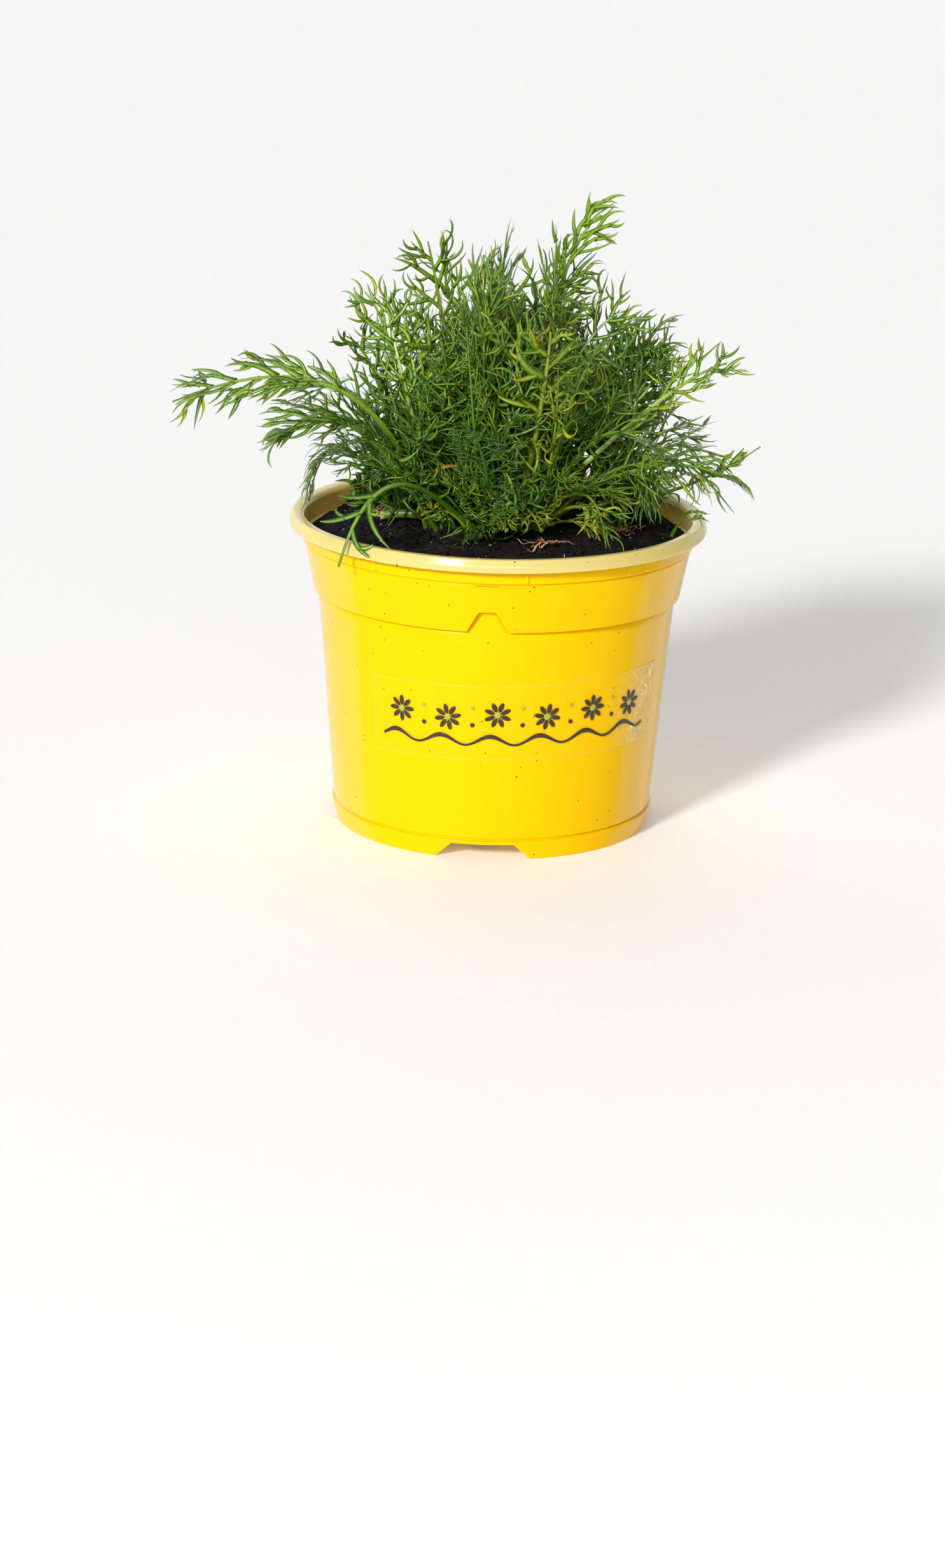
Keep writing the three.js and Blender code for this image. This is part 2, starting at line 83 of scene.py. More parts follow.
CHANNEL_TURN = math.radians(-3)
DRAIN_HOLE_RADIUS = 4.0
DRAIN_HOLE_PLACE = 34.0
NECK_RIB_TURNS = (-49.0, -43.0, -37.2, 8.3, 40.3, 47.3)
NECK_RIB_HALF_WIDTH = 0.6
NECK_RIB_HEIGHT = 0.45
NECK_RIB_ROOT = 0.4
POLE_RADIUS = 0.02

# Waves round the thin wall: how far out they go, how many there are and where they start
SWAYS = ((0.12, 2, 0.7), (0.05, 5, 2.1))

# Label, and what stands off the wall at its right end: each crease's share, place, slope and
# width, and each bubble's share, place and width squared
LABEL_LENGTH = 93.0
LABEL_HEIGHT = 22.0
LABEL_MID_HEIGHT = 41.2
LABEL_MID_TURN = math.radians(11)
LABEL_TILT = math.radians(1.1)
FILM_THICKNESS = 0.1
FILM_GRID = (200, 48)
CREASES = ((1.0, 39, 0.5, 0.9), (0.7, 34, -0.35, 0.7))
BUBBLES = ((1.0, (41, 5), 9), (0.8, (37, -6), 6))

# Print on the label: daisies in a row, dots between them and a wavy line below
DAISIES = 6
DAISY_START = -36.5
DAISY_STEP = 14.0
DAISY_HEIGHT = 2.0
DAISY_SHIFT = 0.5
PETALS = 8
PETAL_REACH = 2.4
PETAL_HALVES = (1.45, 0.66)
MIDDLE_HALF = 0.9
LOW_DOT = (-0.6, 0.65)
HIGH_DOT = (4.4, 0.55)
WAVY_ENDS = (-43, 41)
WAVY_HEIGHT = -5.2
WAVY_SWING = 1.3
WAVY_LINE = 1.3

# Compost: its mound, its lumps' heights and sizes, what rises at the back as a height, a place and
# its widths squared, and its sides as radii and heights below the lumpy top
SOIL_CENTRE_HEIGHT = 86.0
SOIL_EDGE_DROP = 2.6
SOIL_EDGE_RADIUS = 54.6
SOIL_LUMPS = ((2.0, 7.5), (1.3, 3.4), (0.7, 1.5))
SOIL_LUMP_MEAN = 2.2
SOIL_GRID = (170, 360)
SOIL_RISES = ((3.2, (-34, 33), (150, 60)), (3.4, (40, 22), (50, 40)))
SOIL_SIDES = (
    (54.5, 81.5), (53.5, 77.0), (50.0, 74.0), (50.0, 68.0), (45.0, 9.0), (43.0, 6.0), (20.0, 6.0),
    (POLE_RADIUS, 6.0))

# Crowns and leaf stalks
CROWN_RADIUS = 2.4
PETIOLE_RADIUS = 1.15
GAP = 0.3
LEAF_BASE_LIFT = 2.0

# Each crown's place, and its leaves in order round it: the point that the midrib passes half
# way, the tip, the length of the longest leaflet, the turn about its own length in degrees,
# the kind of leaf and its tone from 0, deep blue-green, to 1, yellow-green
CROWNS = {
    "front": ((-5, -12), [
        ((-25, -15, 117), (-39, -21, 126), 9, -30, "open", 0.5),
        ((-30, -32, 104), (-44, -46, 84), 12, -20, "curled", 0.36),
        ((-10, -20, 99), (-16, -25, 104), 11, -20, "thread", 0.6),
        ((-8, -17, 124), (-11, -15, 153), 12, 0, "antler", 0.45),
        ((-4, -26, 108), (-8, -33, 120), 12, 0, "needle", 0.12),
        ((1, -21, 98), (4, -29, 96), 10, 0, "needle", 0.25),
    ]),
    "left": ((-17, -5), [
        ((-28, 0, 128), (-34, 13, 152), 10, -60, "open", 0.55),
        ((-46, -15, 127.5), (-93, -8, 121.5), 12, -50, "broad", 0.5),
        ((-42, -19, 118), (-63, -21, 113), 11, -30, "broad", 0.45),
        ((-32, -20, 106), (-45, -26, 106), 11, -10, "antler", 0.45),
    ]),
    "right": ((9, -8), [
        ((11, -18, 124), (13, -24, 147), 14, 0, "coarse", 0.68),
        ((23, -22, 101), (30, -37, 89), 11, 0, "antler", 0.5),
        ((28, -16, 116), (46, -24, 111), 13, 20, "antler", 0.5),
        ((42, -9, 106), (69, -7, 101), 10, 40, "limp", 0.45),
        ((42, 0, 121), (64, 4, 134), 8.5, 50, "spray", 0.6),
    ]),
    "middle": ((2, 6), [
        ((20, 11, 130), (35, 12, 147), 12, 60, "antler", 0.4),
        ((15, 10, 150), (27, 6, 175), 11, 80, "plume", 0.6),
        ((-2, 14, 134), (0, 17, 160), 12, 80, "plume", 0.5),
        ((-5, 3, 130), (-6, 0, 164), 10, 0, "brush", 0.52),
        ((13, 2, 136), (13, -3, 167), 13, 0, "fork", 0.6),
    ]),
    "far_left": ((-27, 14), [
        ((-31, 20, 129), (-40, 22, 149), 9, -60, "open", 0.5),
        ((-42, 34, 116), (-62, 46, 110), 11, 0, "antler", 0.45),
        ((-46, 10, 106), (-55, 9, 90), 8, -20, "limp", 0.4),
        ((-35, 8, 124), (-45, 6, 139), 8, -60, "open", 0.45),
        ((-36, 3, 104), (-50, 1, 105), 9, -20, "antler", 0.4),
    ]),
    "back_left": ((-9, 22), [
        ((-11, 39, 130), (-14, 46, 153), 11, 0, "open", 0.5),
        ((-24, 44, 122), (-42, 62, 124), 12, 0, "antler", 0.45),
        ((-21, 27, 124), (-30, 28, 146), 10, -70, "open", 0.5),
        ((-16, 20, 134), (-22, 15, 165), 11, -80, "spray", 0.55),
    ]),
    "back": ((11, 26), [
        ((14, 26, 131), (18, 22, 156), 10, 70, "plume", 0.45),
        ((26, 46, 120), (38, 60, 120), 11, 0, "antler", 0.5),
        ((14, 54, 116), (16, 80, 112), 13, 0, "antler", 0.45),
        ((5, 42, 132), (2, 52, 149), 11, 0, "open", 0.45),
    ]),
    "far_right": ((31, 17), [
        ((50, 9, 109), (59, 4, 98), 10, 20, "antler", 0.5),
        ((46, 22, 109), (55, 24, 104), 9, 20, "antler", 0.45),
        ((42, 38, 112), (50, 52, 106), 10, 0, "antler", 0.5),
        ((34, 26, 127), (50, 29, 131), 12, 60, "feather", 0.15),
    ]),
}

# More leaves, listed one by one where the clump needs them, as part of a crown: foot, the point half way,
# tip, then as for the large leaves
LOW_LEAVES = {
    "front": [
        ((-8, -13, 86), (-14, -15, 93), (-22, -19, 93), 10, -20, "thread", 0.72),
        ((-7, -11, 88), (-16, -14, 103), (-27, -20, 104), 11, -20, "thread", 0.6),
        ((-5, -9, 88), (-7, -12, 99), (-9, -17, 105), 10, 0, "thread", 0.5),
        ((-1, -12, 88), (3, -18, 95), (6, -23, 93), 8, 0, "needle", 0.25),
        ((-3, -13, 87), (0, -21, 96), (2, -30, 91), 9, 0, "thread", 0.65),
        ((-1, -12, 87), (6, -19, 96), (12, -28, 91), 9, 0, "thread", 0.75),
    ],
    "right": [
        ((11, -9, 86), (21, -15, 95.5), (32, -19, 92), 9, 10, "curled", 0.85),
        ((13, -8, 88), (21, -9, 90), (30, -14, 89), 10, 0, "limp", 1.0),
        ((12, -9, 88), (24, -13, 101), (36, -18, 95), 10, 10, "antler", 0.65),
        ((12, -8, 90), (18, -17, 121), (27, -22, 144), 11, 30, "coarse", 0.52),
        ((13, -8, 88), (34, -10, 106), (50, -12, 103), 10, 30, "feather", 0.5),
    ],
    "left": [
        ((-18, -5, 88), (-28, -7, 104), (-38, -12, 99), 9, -10, "antler", 0.45),
        ((-18, -5, 90), (-36, -12, 115), (-50, -12, 113), 9, -20, "antler", 0.45),
        ((-17, -4, 90), (-24, 0, 125), (-28, 8, 147), 11, -40, "open", 0.5),
        ((-18, -5, 90), (-34, -13, 114), (-47, -14, 119), 9, -20, "spray", 0.42),
        ((-17, -7, 90), (-32, -15, 111), (-46, -18, 112), 9, 10, "feather", 0.4),
    ],
    "middle": [
        ((2, 4, 90), (0, 5, 124), (-1, 2, 148), 11, 20, "open", 0.45),
        ((4, 5, 90), (10, 8, 128), (17, 8, 148), 12, 50, "antler", 0.4),
        ((0, 2, 90), (-5, -8, 130), (-4, -11, 160), 12, 0, "brush", 0.58),
    ],
    "back_left": [
        ((-9, 20, 90), (-14, 14, 125), (-17, 10, 147), 11, -30, "antler", 0.5),
    ],
    "back": [
        ((12, 26, 90), (23, 27, 124), (35, 29, 141), 10, 50, "antler", 0.4),
        ((10, 26, 90), (2, 23, 126), (-4, 20, 150), 11, 20, "antler", 0.45),
        ((12, 27, 90), (18, 26, 118), (25, 24, 138), 10, 40, "spray", 0.4),
        ((13, 27, 90), (29, 29, 122), (43, 27, 136), 10, 40, "feather", 0.35),
    ],
    "far_right": [
        ((32, 16, 88), (40, 0, 102), (42, -10, 93), 8, 10, "limp", 0.4),
        ((33, 17, 88), (47, 3, 106), (58, -5, 98), 10, 20, "feather", 0.55),
        ((30, 18, 90), (38, 18, 122), (46, 16, 131), 12, 40, "feather", 0.15),
        ((31, 17, 90), (36, 22, 118), (48, 26, 125), 11, 40, "needle", 0.15),
        ((33, 16, 90), (54, 1, 99), (74, -5, 112), 5.5, 50, "fork", 0.5),
        ((32, 17, 90), (37, 20, 120), (43, 22, 137), 12, 50, "antler", 0.4),
    ],
}

# The clump's dome, inside which the many inner leaves end: its middle and its half sizes
DOME_MIDDLE = np.array([5.0, 9.0, 88.0])
DOME_REACH = np.array([50.0, 43.0, 73.0])

# Inner leaves: how many to a crown, how far out they start, their kinds, slopes in degrees, lengths
# as shares of the way to the dome and what a steep one adds, how far they arch and wander as shares
# of their length, their longest leaflet, and their tone at the foot, what height adds and its noise
INNER_LEAVES = 13
FRONT_INNER_LEAVES = 7
INNER_FOOT_REACH = 2.2
INNER_KINDS = ("inner", "inner", "inner", "inner", "open", "feather")
INNER_SLOPES = (18, 84)
INNER_LENGTHS = (0.56, 0.8)
INNER_STEEP_LENGTH = 0.14
INNER_ARCH = (0.04, 0.2)
INNER_WANDER = 0.09
INNER_LEAFLETS = (11, 16)
INNER_TONE = 0.27
INNER_HEIGHT_TONE = 0.36
INNER_TONE_NOISE = 0.11

# Stalks of inner leaves and of those listed one by one are thinner than the large leaves', by these shares.
# A stalk's tone is its leaf's and this
INNER_STALK = 0.75
PLACED_STALK = 0.85
STALK_TONE = 0.15
INNER_STALK_TONE = -0.12


class Kind(NamedTuple):
    """What sets a kind of leaf apart: its pairs of leaflets and where on the midrib they begin and
    end, a leaflet's angles to the midrib at its base, middle and tip, the lobes on it, a lobe's
    angles to it and its length as a share of the longest leaflet, half widths of the midrib,
    leaflets and lobes, how far lobes stand out of the leaf's flat in radians, how many lobes fork
    again, how far leaflets and lobes sag, and the turn that all their tips make to one side."""
    pairs: int
    reach: tuple
    angle: tuple
    lobes: int
    lobe_angle: tuple
    lobe: float
    half: tuple
    spread: float
    forks: float
    sag: float
    sweep: float


KINDS = {name: Kind(*settings) for name, *settings in (
    ("antler", 4, (0.38, 0.88), (44, 34, -4), 3, (50, 22, -26), 0.9, (0.95, 0.56, 0.48), 0.42, 0.4, 0.05, 0),
    ("inner", 4, (0.36, 0.9), (56, 40, -16), 3, (66, 20, -48), 1.15, (1.0, 0.76, 0.68), 0.75, 0.25, 0.06, 0),
    ("broad", 6, (0.53, 0.92), (30, 24, 6), 3, (38, 20, -14), 0.92, (1.25, 0.8, 0.7), 0.32, 0.35, 0.14, 0),
    ("open", 3, (0.44, 0.86), (46, 36, -4), 2, (50, 14, -26), 1.25, (0.95, 0.58, 0.5), 0.42, 0.35, 0.02, 0),
    ("plume", 3, (0.56, 0.84), (28, 16, 4), 3, (32, 16, -10), 1.15, (1.15, 0.7, 0.6), 0.16, 0.2, 0.0, -38),
    ("spray", 5, (0.42, 0.9), (42, 28, 4), 3, (44, 22, -16), 1.1, (1.1, 0.62, 0.54), 0.3, 0.3, 0.0, 16),
    ("fork", 2, (0.68, 0.82), (34, 24, -16), 2, (38, 20, -30), 1.0, (1.0, 0.74, 0.68), 0.2, 0.2, 0.0, 0),
    ("coarse", 3, (0.52, 0.9), (60, 52, 6), 3, (46, 24, -16), 0.75, (1.25, 1.15, 1.0), 0.5, 0.2, 0.1, 14),
    ("brush", 8, (0.34, 0.88), (22, 14, 2), 4, (26, 10, -8), 0.95, (0.95, 0.58, 0.54), 0.3, 0.2, 0.0, 0),
    ("feather", 6, (0.3, 0.9), (50, 44, 10), 4, (48, 32, -10), 0.7, (0.9, 0.5, 0.42), 0.45, 0.3, 0.1, 0),
    ("needle", 7, (0.34, 0.96), (60, 50, 26), 6, (50, 42, 10), 0.56, (0.8, 0.4, 0.34), 0.6, 0.15, 0.0, 0),
    ("thread", 4, (0.5, 0.96), (56, 60, 40), 4, (64, 40, -44), 0.7, (1.15, 0.48, 0.42), 0.5, 0.4, 0.0, 0),
    ("limp", 4, (0.42, 0.9), (30, 20, -4), 3, (36, 14, -24), 0.95, (1.0, 0.58, 0.5), 0.4, 0.3, 0.4, 0),
    ("curled", 2, (0.64, 0.84), (26, 60, 130), 1, (40, 70, 160), 0.6, (1.5, 0.85, 0.75), 0.2, 0.1, 0.35, 0),
)}


class Growth(NamedTuple):
    """How leaflets, lobes or forks vary: the noise of their turns in degrees, how far they rise and
    that noise as shares of the kind's spread, the noise of their rolls in radians, the range of
    their widths, and the steps along each."""
    turn_noise: float
    rise: float
    rise_noise: tuple
    roll_noise: float
    width: tuple
    steps: int


LEAFLET = Growth(8, 0.1, (0.5, 0.8, 1.0), 0.25, (0.9, 1.15), 8)
LOBE = Growth(14, 0.08, (0.7, 1.0, 1.4), 0.4, (0.8, 1.15), 7)
FORK = Growth(12, 0.05, (0.7, 1.0, 1.4), 0.4, (0.75, 0.95), 7)

# Sections of a lobe, a stalk, a round stalk and a lump: places across and upwards as shares of the
# half width, and the side they are on, from 0 on top in the groove to 1 underneath
LOBE_SECTION = np.array([(-1, 0.2, 0.5), (0, 0.02, 0), (1, 0.2, 0.5), (0, -0.36, 1)])
STALK_SECTION = np.array([
    (-1, 0.35, 0.4), (-0.5, 0.45, 0.2), (0, 0.12, 0), (0.5, 0.45, 0.2),
    (1, 0.35, 0.4), (0.8, -0.45, 0.7), (0, -0.85, 1), (-0.8, -0.45, 0.7)])
ROUND_SECTION = np.array([
    (-1, 0, 0.5), (-0.7, 0.7, 0.5), (0, 1, 0.5), (0.7, 0.7, 0.5),
    (1, 0, 0.5), (0.7, -0.7, 0.5), (0, -1, 0.5), (-0.7, -0.7, 0.5)])
LUMP_SECTION = np.array([(-1, 0, 0.5), (0, 0.8, 0.5), (1, 0, 0.5), (0, -0.8, 0.5)])

# Dried leaf bits, as the frame's dry_leaf nodes: place, heading in degrees and length
DRY_LEAVES = {"front": ((19, -23), -165, 12), "left": ((-36, 12), 60, 9), "right": ((30, -6), 25, 12)}
DRY_FORKS = 7

# How far loose bits lie above the compost
BIT_LIFT = 0.3

# Yellowed lobes low in the clump: where each starts and ends
YELLOWED = (
    ((-24, -2, 97), (-34, -3, 101)), ((-25, -3, 98), (-33, -1, 106)), ((-20, -12, 103), (-12, -16, 107)),
    ((-21, -12, 104), (-14, -14, 103)), ((-22, -11, 102), (-26, -14, 108)), ((-2, -21, 100), (0, -23, 94)))

# The cut stalk's ends and how it bows, and the leaf over the rim: foot, point half way and tip
CUT_STALK_ENDS = np.array([(-20, 0.6, 88.3), (-34, 3, 87.6)])
CUT_STALK_BOW = np.array([0.3, 0.8, 0.5])
RIM_LEAF = np.array([(50, -1, 84.7), (54.5, -8, 93.5), (57.5, -17.5, 91.4)])

# Floor: how far it reaches to the front and sides, where it begins to sweep up, and its radius
FLOOR_REACH = 9000
FLOOR_BEND = 5200
FLOOR_BEND_RADIUS = 900

# The photograph's view, fitted to the pot's circles: the camera's place in metres, and the
# directions to its right, up and back
CAMERA_PLACE = (-0.005599, -1.107096, 0.342618)
CAMERA_RIGHT = (0.999719, 0.006852, 0.022695)
CAMERA_UP = (-0.023707, 0.288939, 0.957054)
CAMERA_BACK = (0, -0.957323, 0.28902)
CAMERA_LENS = 90.65


def smooth(value, low, high):
    """Rises from 0 at low to 1 at high along an S: 3x2 - 2x3 of the share of the way."""
    share = np.clip((value - low) / (high - low), 0, 1)
    return share * share * (3 - 2 * share)


def unit(vectors):
    """Each vector over its own length."""
    return vectors / np.maximum(np.linalg.norm(vectors, axis=-1, keepdims=True), 1e-9)


def polar(radius, angle, z):
    """Points at radii, angles from the front towards +X, and heights."""
    return np.stack([radius * np.sin(angle), -radius * np.cos(angle), z], -1)


def grid_quads(rows, columns, wrap=False):
    """Faces of a grid of points stored row by row, joined round each row if it wraps."""
    row, column = np.mgrid[0:rows - 1, 0:columns if wrap else columns - 1]
    beside = (column + 1) % columns
    corners = [row * columns + column, row * columns + beside]
    corners += [(row + 1) * columns + beside, (row + 1) * columns + column]
    return np.stack(corners, -1).reshape(-1, 4)


def slab(outer, inner):
    """A closed sheet between two equal grids of points: both faces, and a band round their edges."""
    rows, columns = outer.shape[:2]
    face = grid_quads(rows, columns)
    number = np.arange(rows * columns).reshape(rows, columns)
    edge = np.concatenate([number[0, :-1], number[:-1, -1], number[-1, :0:-1], number[:0:-1, 0]])
    after = np.roll(edge, -1)
    under = rows * columns
    band = np.stack([edge, edge + under, after + under, after], -1)
    points = np.concatenate([outer.reshape(-1, 3), inner.reshape(-1, 3)])
    return points, np.concatenate([face, face[:, ::-1] + under, band])


def heaped(parts):
    """Several meshes, each its points and faces, as one."""
    starts = np.cumsum([0] + [len(part[0]) for part in parts[:-1]])
    quads = [part[1] + start for part, start in zip(parts, starts)]
    return np.concatenate([part[0] for part in parts]), np.concatenate(quads)


def placed(name, data):
    """An object in the scene that shows a mesh, a light or a camera."""
    thing = bpy.data.objects.new(name, data)
    bpy.context.scene.collection.objects.link(thing)
    return thing


def add_piece(name, points, quads, materials, slot, replaces=(), marks=None, values=None):
    """One mesh that rides the body. Points are in millimetres, marks choose each face's material,
    and values are attributes of its points, by name."""
    mesh = bpy.data.meshes.new(name)
    mesh.vertices.add(len(points))
    mesh.vertices.foreach_set("co", (np.asarray(points) * MM).astype(np.float32).ravel())
    mesh.loops.add(quads.size)
    mesh.loops.foreach_set("vertex_index", quads.astype(np.int32).ravel())
    mesh.polygons.add(len(quads))
    mesh.polygons.foreach_set("loop_start", np.arange(0, quads.size, 4, dtype=np.int32))
    mesh.polygons.foreach_set("use_smooth", np.ones(len(quads), bool))
    if marks is not None:
        mesh.polygons.foreach_set("material_index", marks.astype(np.int32))
    for label, numbers in (values or {}).items():
        attribute = mesh.attributes.new(label, "FLOAT", "POINT")
        attribute.data.foreach_set("value", np.asarray(numbers, np.float32).ravel())
    for material in materials:
        mesh.materials.append(material)
    mesh.update(calc_edges=True)
    mesh.validate()
    piece = placed(name, mesh)
    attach(piece, BODY)
    if replaces:
        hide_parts(*replaces)
    return piece


# Shader nodes

def colour(red, green, blue):
    """A colour given as it looks on a screen, from 0 to 255, as the linear one that shaders take."""
    screen = np.array([red, green, blue]) / 255
    linear = np.where(screen <= 0.04045, screen / 12.92, ((screen + 0.055) / 1.055) ** 2.4)
    return (*linear, 1.0)


def feed(tree, target, **links):
    """Gives a node's inputs, by name, a value or another node's output. A name that starts with
    input and a number means the input in that place."""
    for key, value in links.items():
        name = int(key[5:]) if key.startswith("input") else key.replace("_", " ")
        if isinstance(value, bpy.types.NodeSocket):
            tree.links.new(value, target.inputs[name])
        else:
            target.inputs[name].default_value = value


def node(tree, kind, settings=None, **links):
    """A node with settings on it, and values or other nodes' outputs for its inputs."""
    made = tree.nodes.new(f"ShaderNode{kind}")
    for key, value in (settings or {}).items():
        setattr(made, key, value)
    feed(tree, made, **links)
    return made


def new_material(name, **settings):
    """A material with one Principled BSDF whose plain sockets take the given settings."""
    material = bpy.data.materials.new(name)
    material.use_nodes = True
    shader = material.node_tree.nodes["Principled BSDF"]
    feed(material.node_tree, shader, **settings)
    return material, material.node_tree, shader


def socketed_group(name, inputs, outputs):
    """A shader node group with number inputs, each with its plain value, and outputs of kinds."""
    tree = bpy.data.node_groups.new(name, "ShaderNodeTree")
    for label, value in inputs.items():
        socket = tree.interface.new_socket(label, in_out="INPUT", socket_type="NodeSocketFloat")
        socket.default_value = value
    for label, kind in outputs.items():
        tree.interface.new_socket(label, in_out="OUTPUT", socket_type=f"NodeSocket{kind}")
    return tree, tree.nodes.new("NodeGroupInput").outputs, tree.nodes.new("NodeGroupOutput")


def grouped(tree, group, **values):
    """The outputs of a group placed in a material with its own values."""
    return node(tree, "Group", {"node_tree": group}, **values).outputs


def math_node(tree, operation, first, second=0.0, clamp=False):
    """The output of a Math node on two numbers or sockets."""
    settings = {"operation": operation, "use_clamp": clamp}
    return node(tree, "Math", settings, input0=first, input1=second).outputs[0]


def times(tree, first, second):
    """The output of a Math node that multiplies."""
    return math_node(tree, "MULTIPLY", first, second)


def less(tree, first, second):
    """The output of a Math node that subtracts the second from the first."""
    return math_node(tree, "SUBTRACT", first, second)


def blended(tree, factor, first, second):
    """The output of a colour Mix node: first where the factor is 0, second where it is 1."""
    return node(tree, "Mix", {"data_type": "RGBA"}, input0=factor, input6=first, input7=second).outputs[2]


def ranged(tree, value, low, high, start=0.0, end=1.0, interpolation="LINEAR"):
    """A value that goes from start to end while the given one goes from low to high."""
    limits = {"From_Min": low, "From_Max": high, "To_Min": start, "To_Max": end}
    made = node(tree, "MapRange", {"interpolation_type": interpolation}, Value=value, **limits)
    return made.outputs["Result"]


def own_place(tree):
    """A point's place on its own object, in metres."""
    return node(tree, "TexCoord").outputs["Object"]


def noise(tree, place, scale, detail, **more):
    """A noise over a place, from 0 to 1."""
    return node(tree, "TexNoise", Vector=place, Scale=scale, Detail=detail, **more).outputs["Fac"]


def read(tree, name):
    """An attribute of the points, by name."""
    return node(tree, "Attribute", {"attribute_name": name}).outputs["Fac"]


def dress(tree, shader, shade, height, strength, depth, **more):
    """Feeds a shader a base colour, a bump from a height with its strength and depth, and more."""
    bump = node(tree, "Bump", Strength=strength, Distance=depth, Height=height)
    feed(tree, shader, Base_Color=shade, Normal=bump.outputs["Normal"], **more)


# Pot

def wall_radius(z):
    """Outer radius of the tapered wall: straight from the foot line to the step, and on above it."""
    share = (z - FOOT_BAND_HEIGHT) / (STEP_HEIGHT - FOOT_BAND_HEIGHT)
    return WALL_FOOT_RADIUS + (WALL_TOP_RADIUS - WALL_FOOT_RADIUS) * share


def shoulder_radius(z):
    """Outer radius of the shoulder band, straight from the step to the neck."""
    share = (z - STEP_HEIGHT) / (NECK_BOTTOM - STEP_HEIGHT)
    return SHOULDER_BOTTOM_RADIUS + (SHOULDER_TOP_RADIUS - SHOULDER_BOTTOM_RADIUS) * share


def sway(angle, z):
    """How far the thin wall stands out of round: two slow waves round it, none near the foot."""
    waves = sum(size * np.sin(count * angle + start) for size, count, start in SWAYS)
    return waves * smooth(z, 8, 60)


def arc(centre, radius, start, end, steps):
    """Points on a circle about a centre (radius, height), from one angle to another in degrees."""
    angles = np.radians(np.linspace(start, end, steps))
    return np.stack([centre[0] + radius * np.cos(angles), centre[1] + radius * np.sin(angles)], -1)


def pot_rows():
    """The pot's section as rows of a kind and two numbers, from the middle of its underside, up
    its outside, over the rim and down its inside to the middle of its floor. The numbers are a
    radius for the underside and the floor, a step out and a share of the way up for foot, wall and
    shoulder, a share of the way out for a ledge, and a radius and a height for fixed rows."""
    rows = []

    def add(kind, start, end, steps):
        rows.extend((kind, *pair) for pair in np.linspace(start, end, steps))

    def bend(*settings):
        rows.extend(("fixed", *pair) for pair in arc(*settings))

    lip = POT_HEIGHT - LIP
    neck_inside = NECK_RADIUS - WALL
    groove = SHOULDER_TOP_RADIUS - NECK_GROOVE
    end = CHANNEL_INNER_END
    add("under", (POLE_RADIUS, 0), (end - 1, 0), 6)
    add("under", (end - 0.1, 0), (end + 0.7, 0), 6)
    add("under", (end + 1.6, 0), (FOOT_RADIUS - 0.8, 0), 9)
    add("foot", (-FOOT_ROUNDING, 0), (0, 0.02), 3)
    add("foot", (0.04, 0.05), (0.04, 0.93), 7)
    add("foot", (-0.05, 0.965), (-FOOT_ROUNDING, 1), 3)
    add("wall", (-FOOT_GROOVE, 0.001), (-FOOT_GROOVE, 0.007), 2)
    add("wall", (-0.05, 0.01), (0, 0.015), 3)
    add("wall", (0, 0.035), (0, 0.988), 29)
    add("wall", (-STEP_GROOVE, 0.993), (-STEP_GROOVE, 1), 3)
    add("ledge", (-0.15, 0), (1, 0), 5)
    add("shoulder", (0, 0.006), (0, 0.03), 3)
    add("shoulder", (0, 0.08), (0, 0.93), 12)
    add("fixed", (SHOULDER_TOP_RADIUS - 0.12, NECK_BOTTOM - 0.7), (groove, NECK_BOTTOM - 0.5), 3)
    add("fixed", (groove, NECK_BOTTOM - 0.3), (groove, NECK_BOTTOM), 3)
    bend((NECK_RADIUS - 0.1, NECK_BOTTOM + 0.1), 0.1, -90, 0, 3)
    add("fixed", (NECK_RADIUS, NECK_BOTTOM + 0.4), (NECK_RADIUS, RIM_UNDERSIDE), 6)
    add("fixed", (NECK_RADIUS + 0.05, lip - 0.5), (NECK_RADIUS + 0.5, lip), 3)
    add("fixed", (RIM_RADIUS - LIP - 0.4, lip), (RIM_RADIUS - LIP, lip - 0.4), 2)
    bend((RIM_RADIUS - LIP / 2, RIM_UNDERSIDE + LIP / 2), LIP / 2, -180, 0, 9)
    bend((RIM_RADIUS - RIM_BELLY, RIM_UNDERSIDE), RIM_BELLY, 7, 28, 8)
    edge = (RIM_RADIUS - 2 * RIM_EDGE_ROUNDING, POT_HEIGHT - RIM_EDGE_ROUNDING)
    bend(edge, RIM_EDGE_ROUNDING, 32, 84, 6)
    add("fixed", (RIM_RADIUS - 1.6, POT_HEIGHT - 0.01), (RIM_RADIUS - 2.5, POT_HEIGHT - 0.06), 3)
    inner = (neck_inside + RIM_INNER_ROUNDING, POT_HEIGHT - RIM_INNER_ROUNDING - 0.1)
    bend(inner, RIM_INNER_ROUNDING, 96, 180, 8)
    add("fixed", (neck_inside, POT_HEIGHT - 2.6), (neck_inside, NECK_BOTTOM + 1.1), 6)
    shoulder_end = (SHOULDER_TOP_RADIUS - WALL, NECK_BOTTOM + 0.6)
    add("fixed", (neck_inside - 0.1, NECK_BOTTOM + WALL), shoulder_end, 3)
    add("shoulder_in", (0, 0.99), (0, 0.02), 12)
    add("ledge_in", (1, 0), (0.1, 0), 4)
    add("wall_in", (0, 0.995), (0, 0.01), 14)
    add("floor", (FOOT_RADIUS - 1.3, 0), (end + 1, 0), 8)
    add("floor", (end - 0.1, 0), (end - WALL, 0), 6)
    add("floor", (end - 2, 0), (POLE_RADIUS, 0), 6)
    kinds, first, second = zip(*rows)
    return np.array(kinds), np.array(first, float), np.array(second, float)


# Columns in half a quarter of the pot, up to each of its knots, and how far each knot is rounded
KNOT_COLUMNS = (8, 3, 5, 3, 17)
KNOT_SOFTNESS = math.radians(0.3)


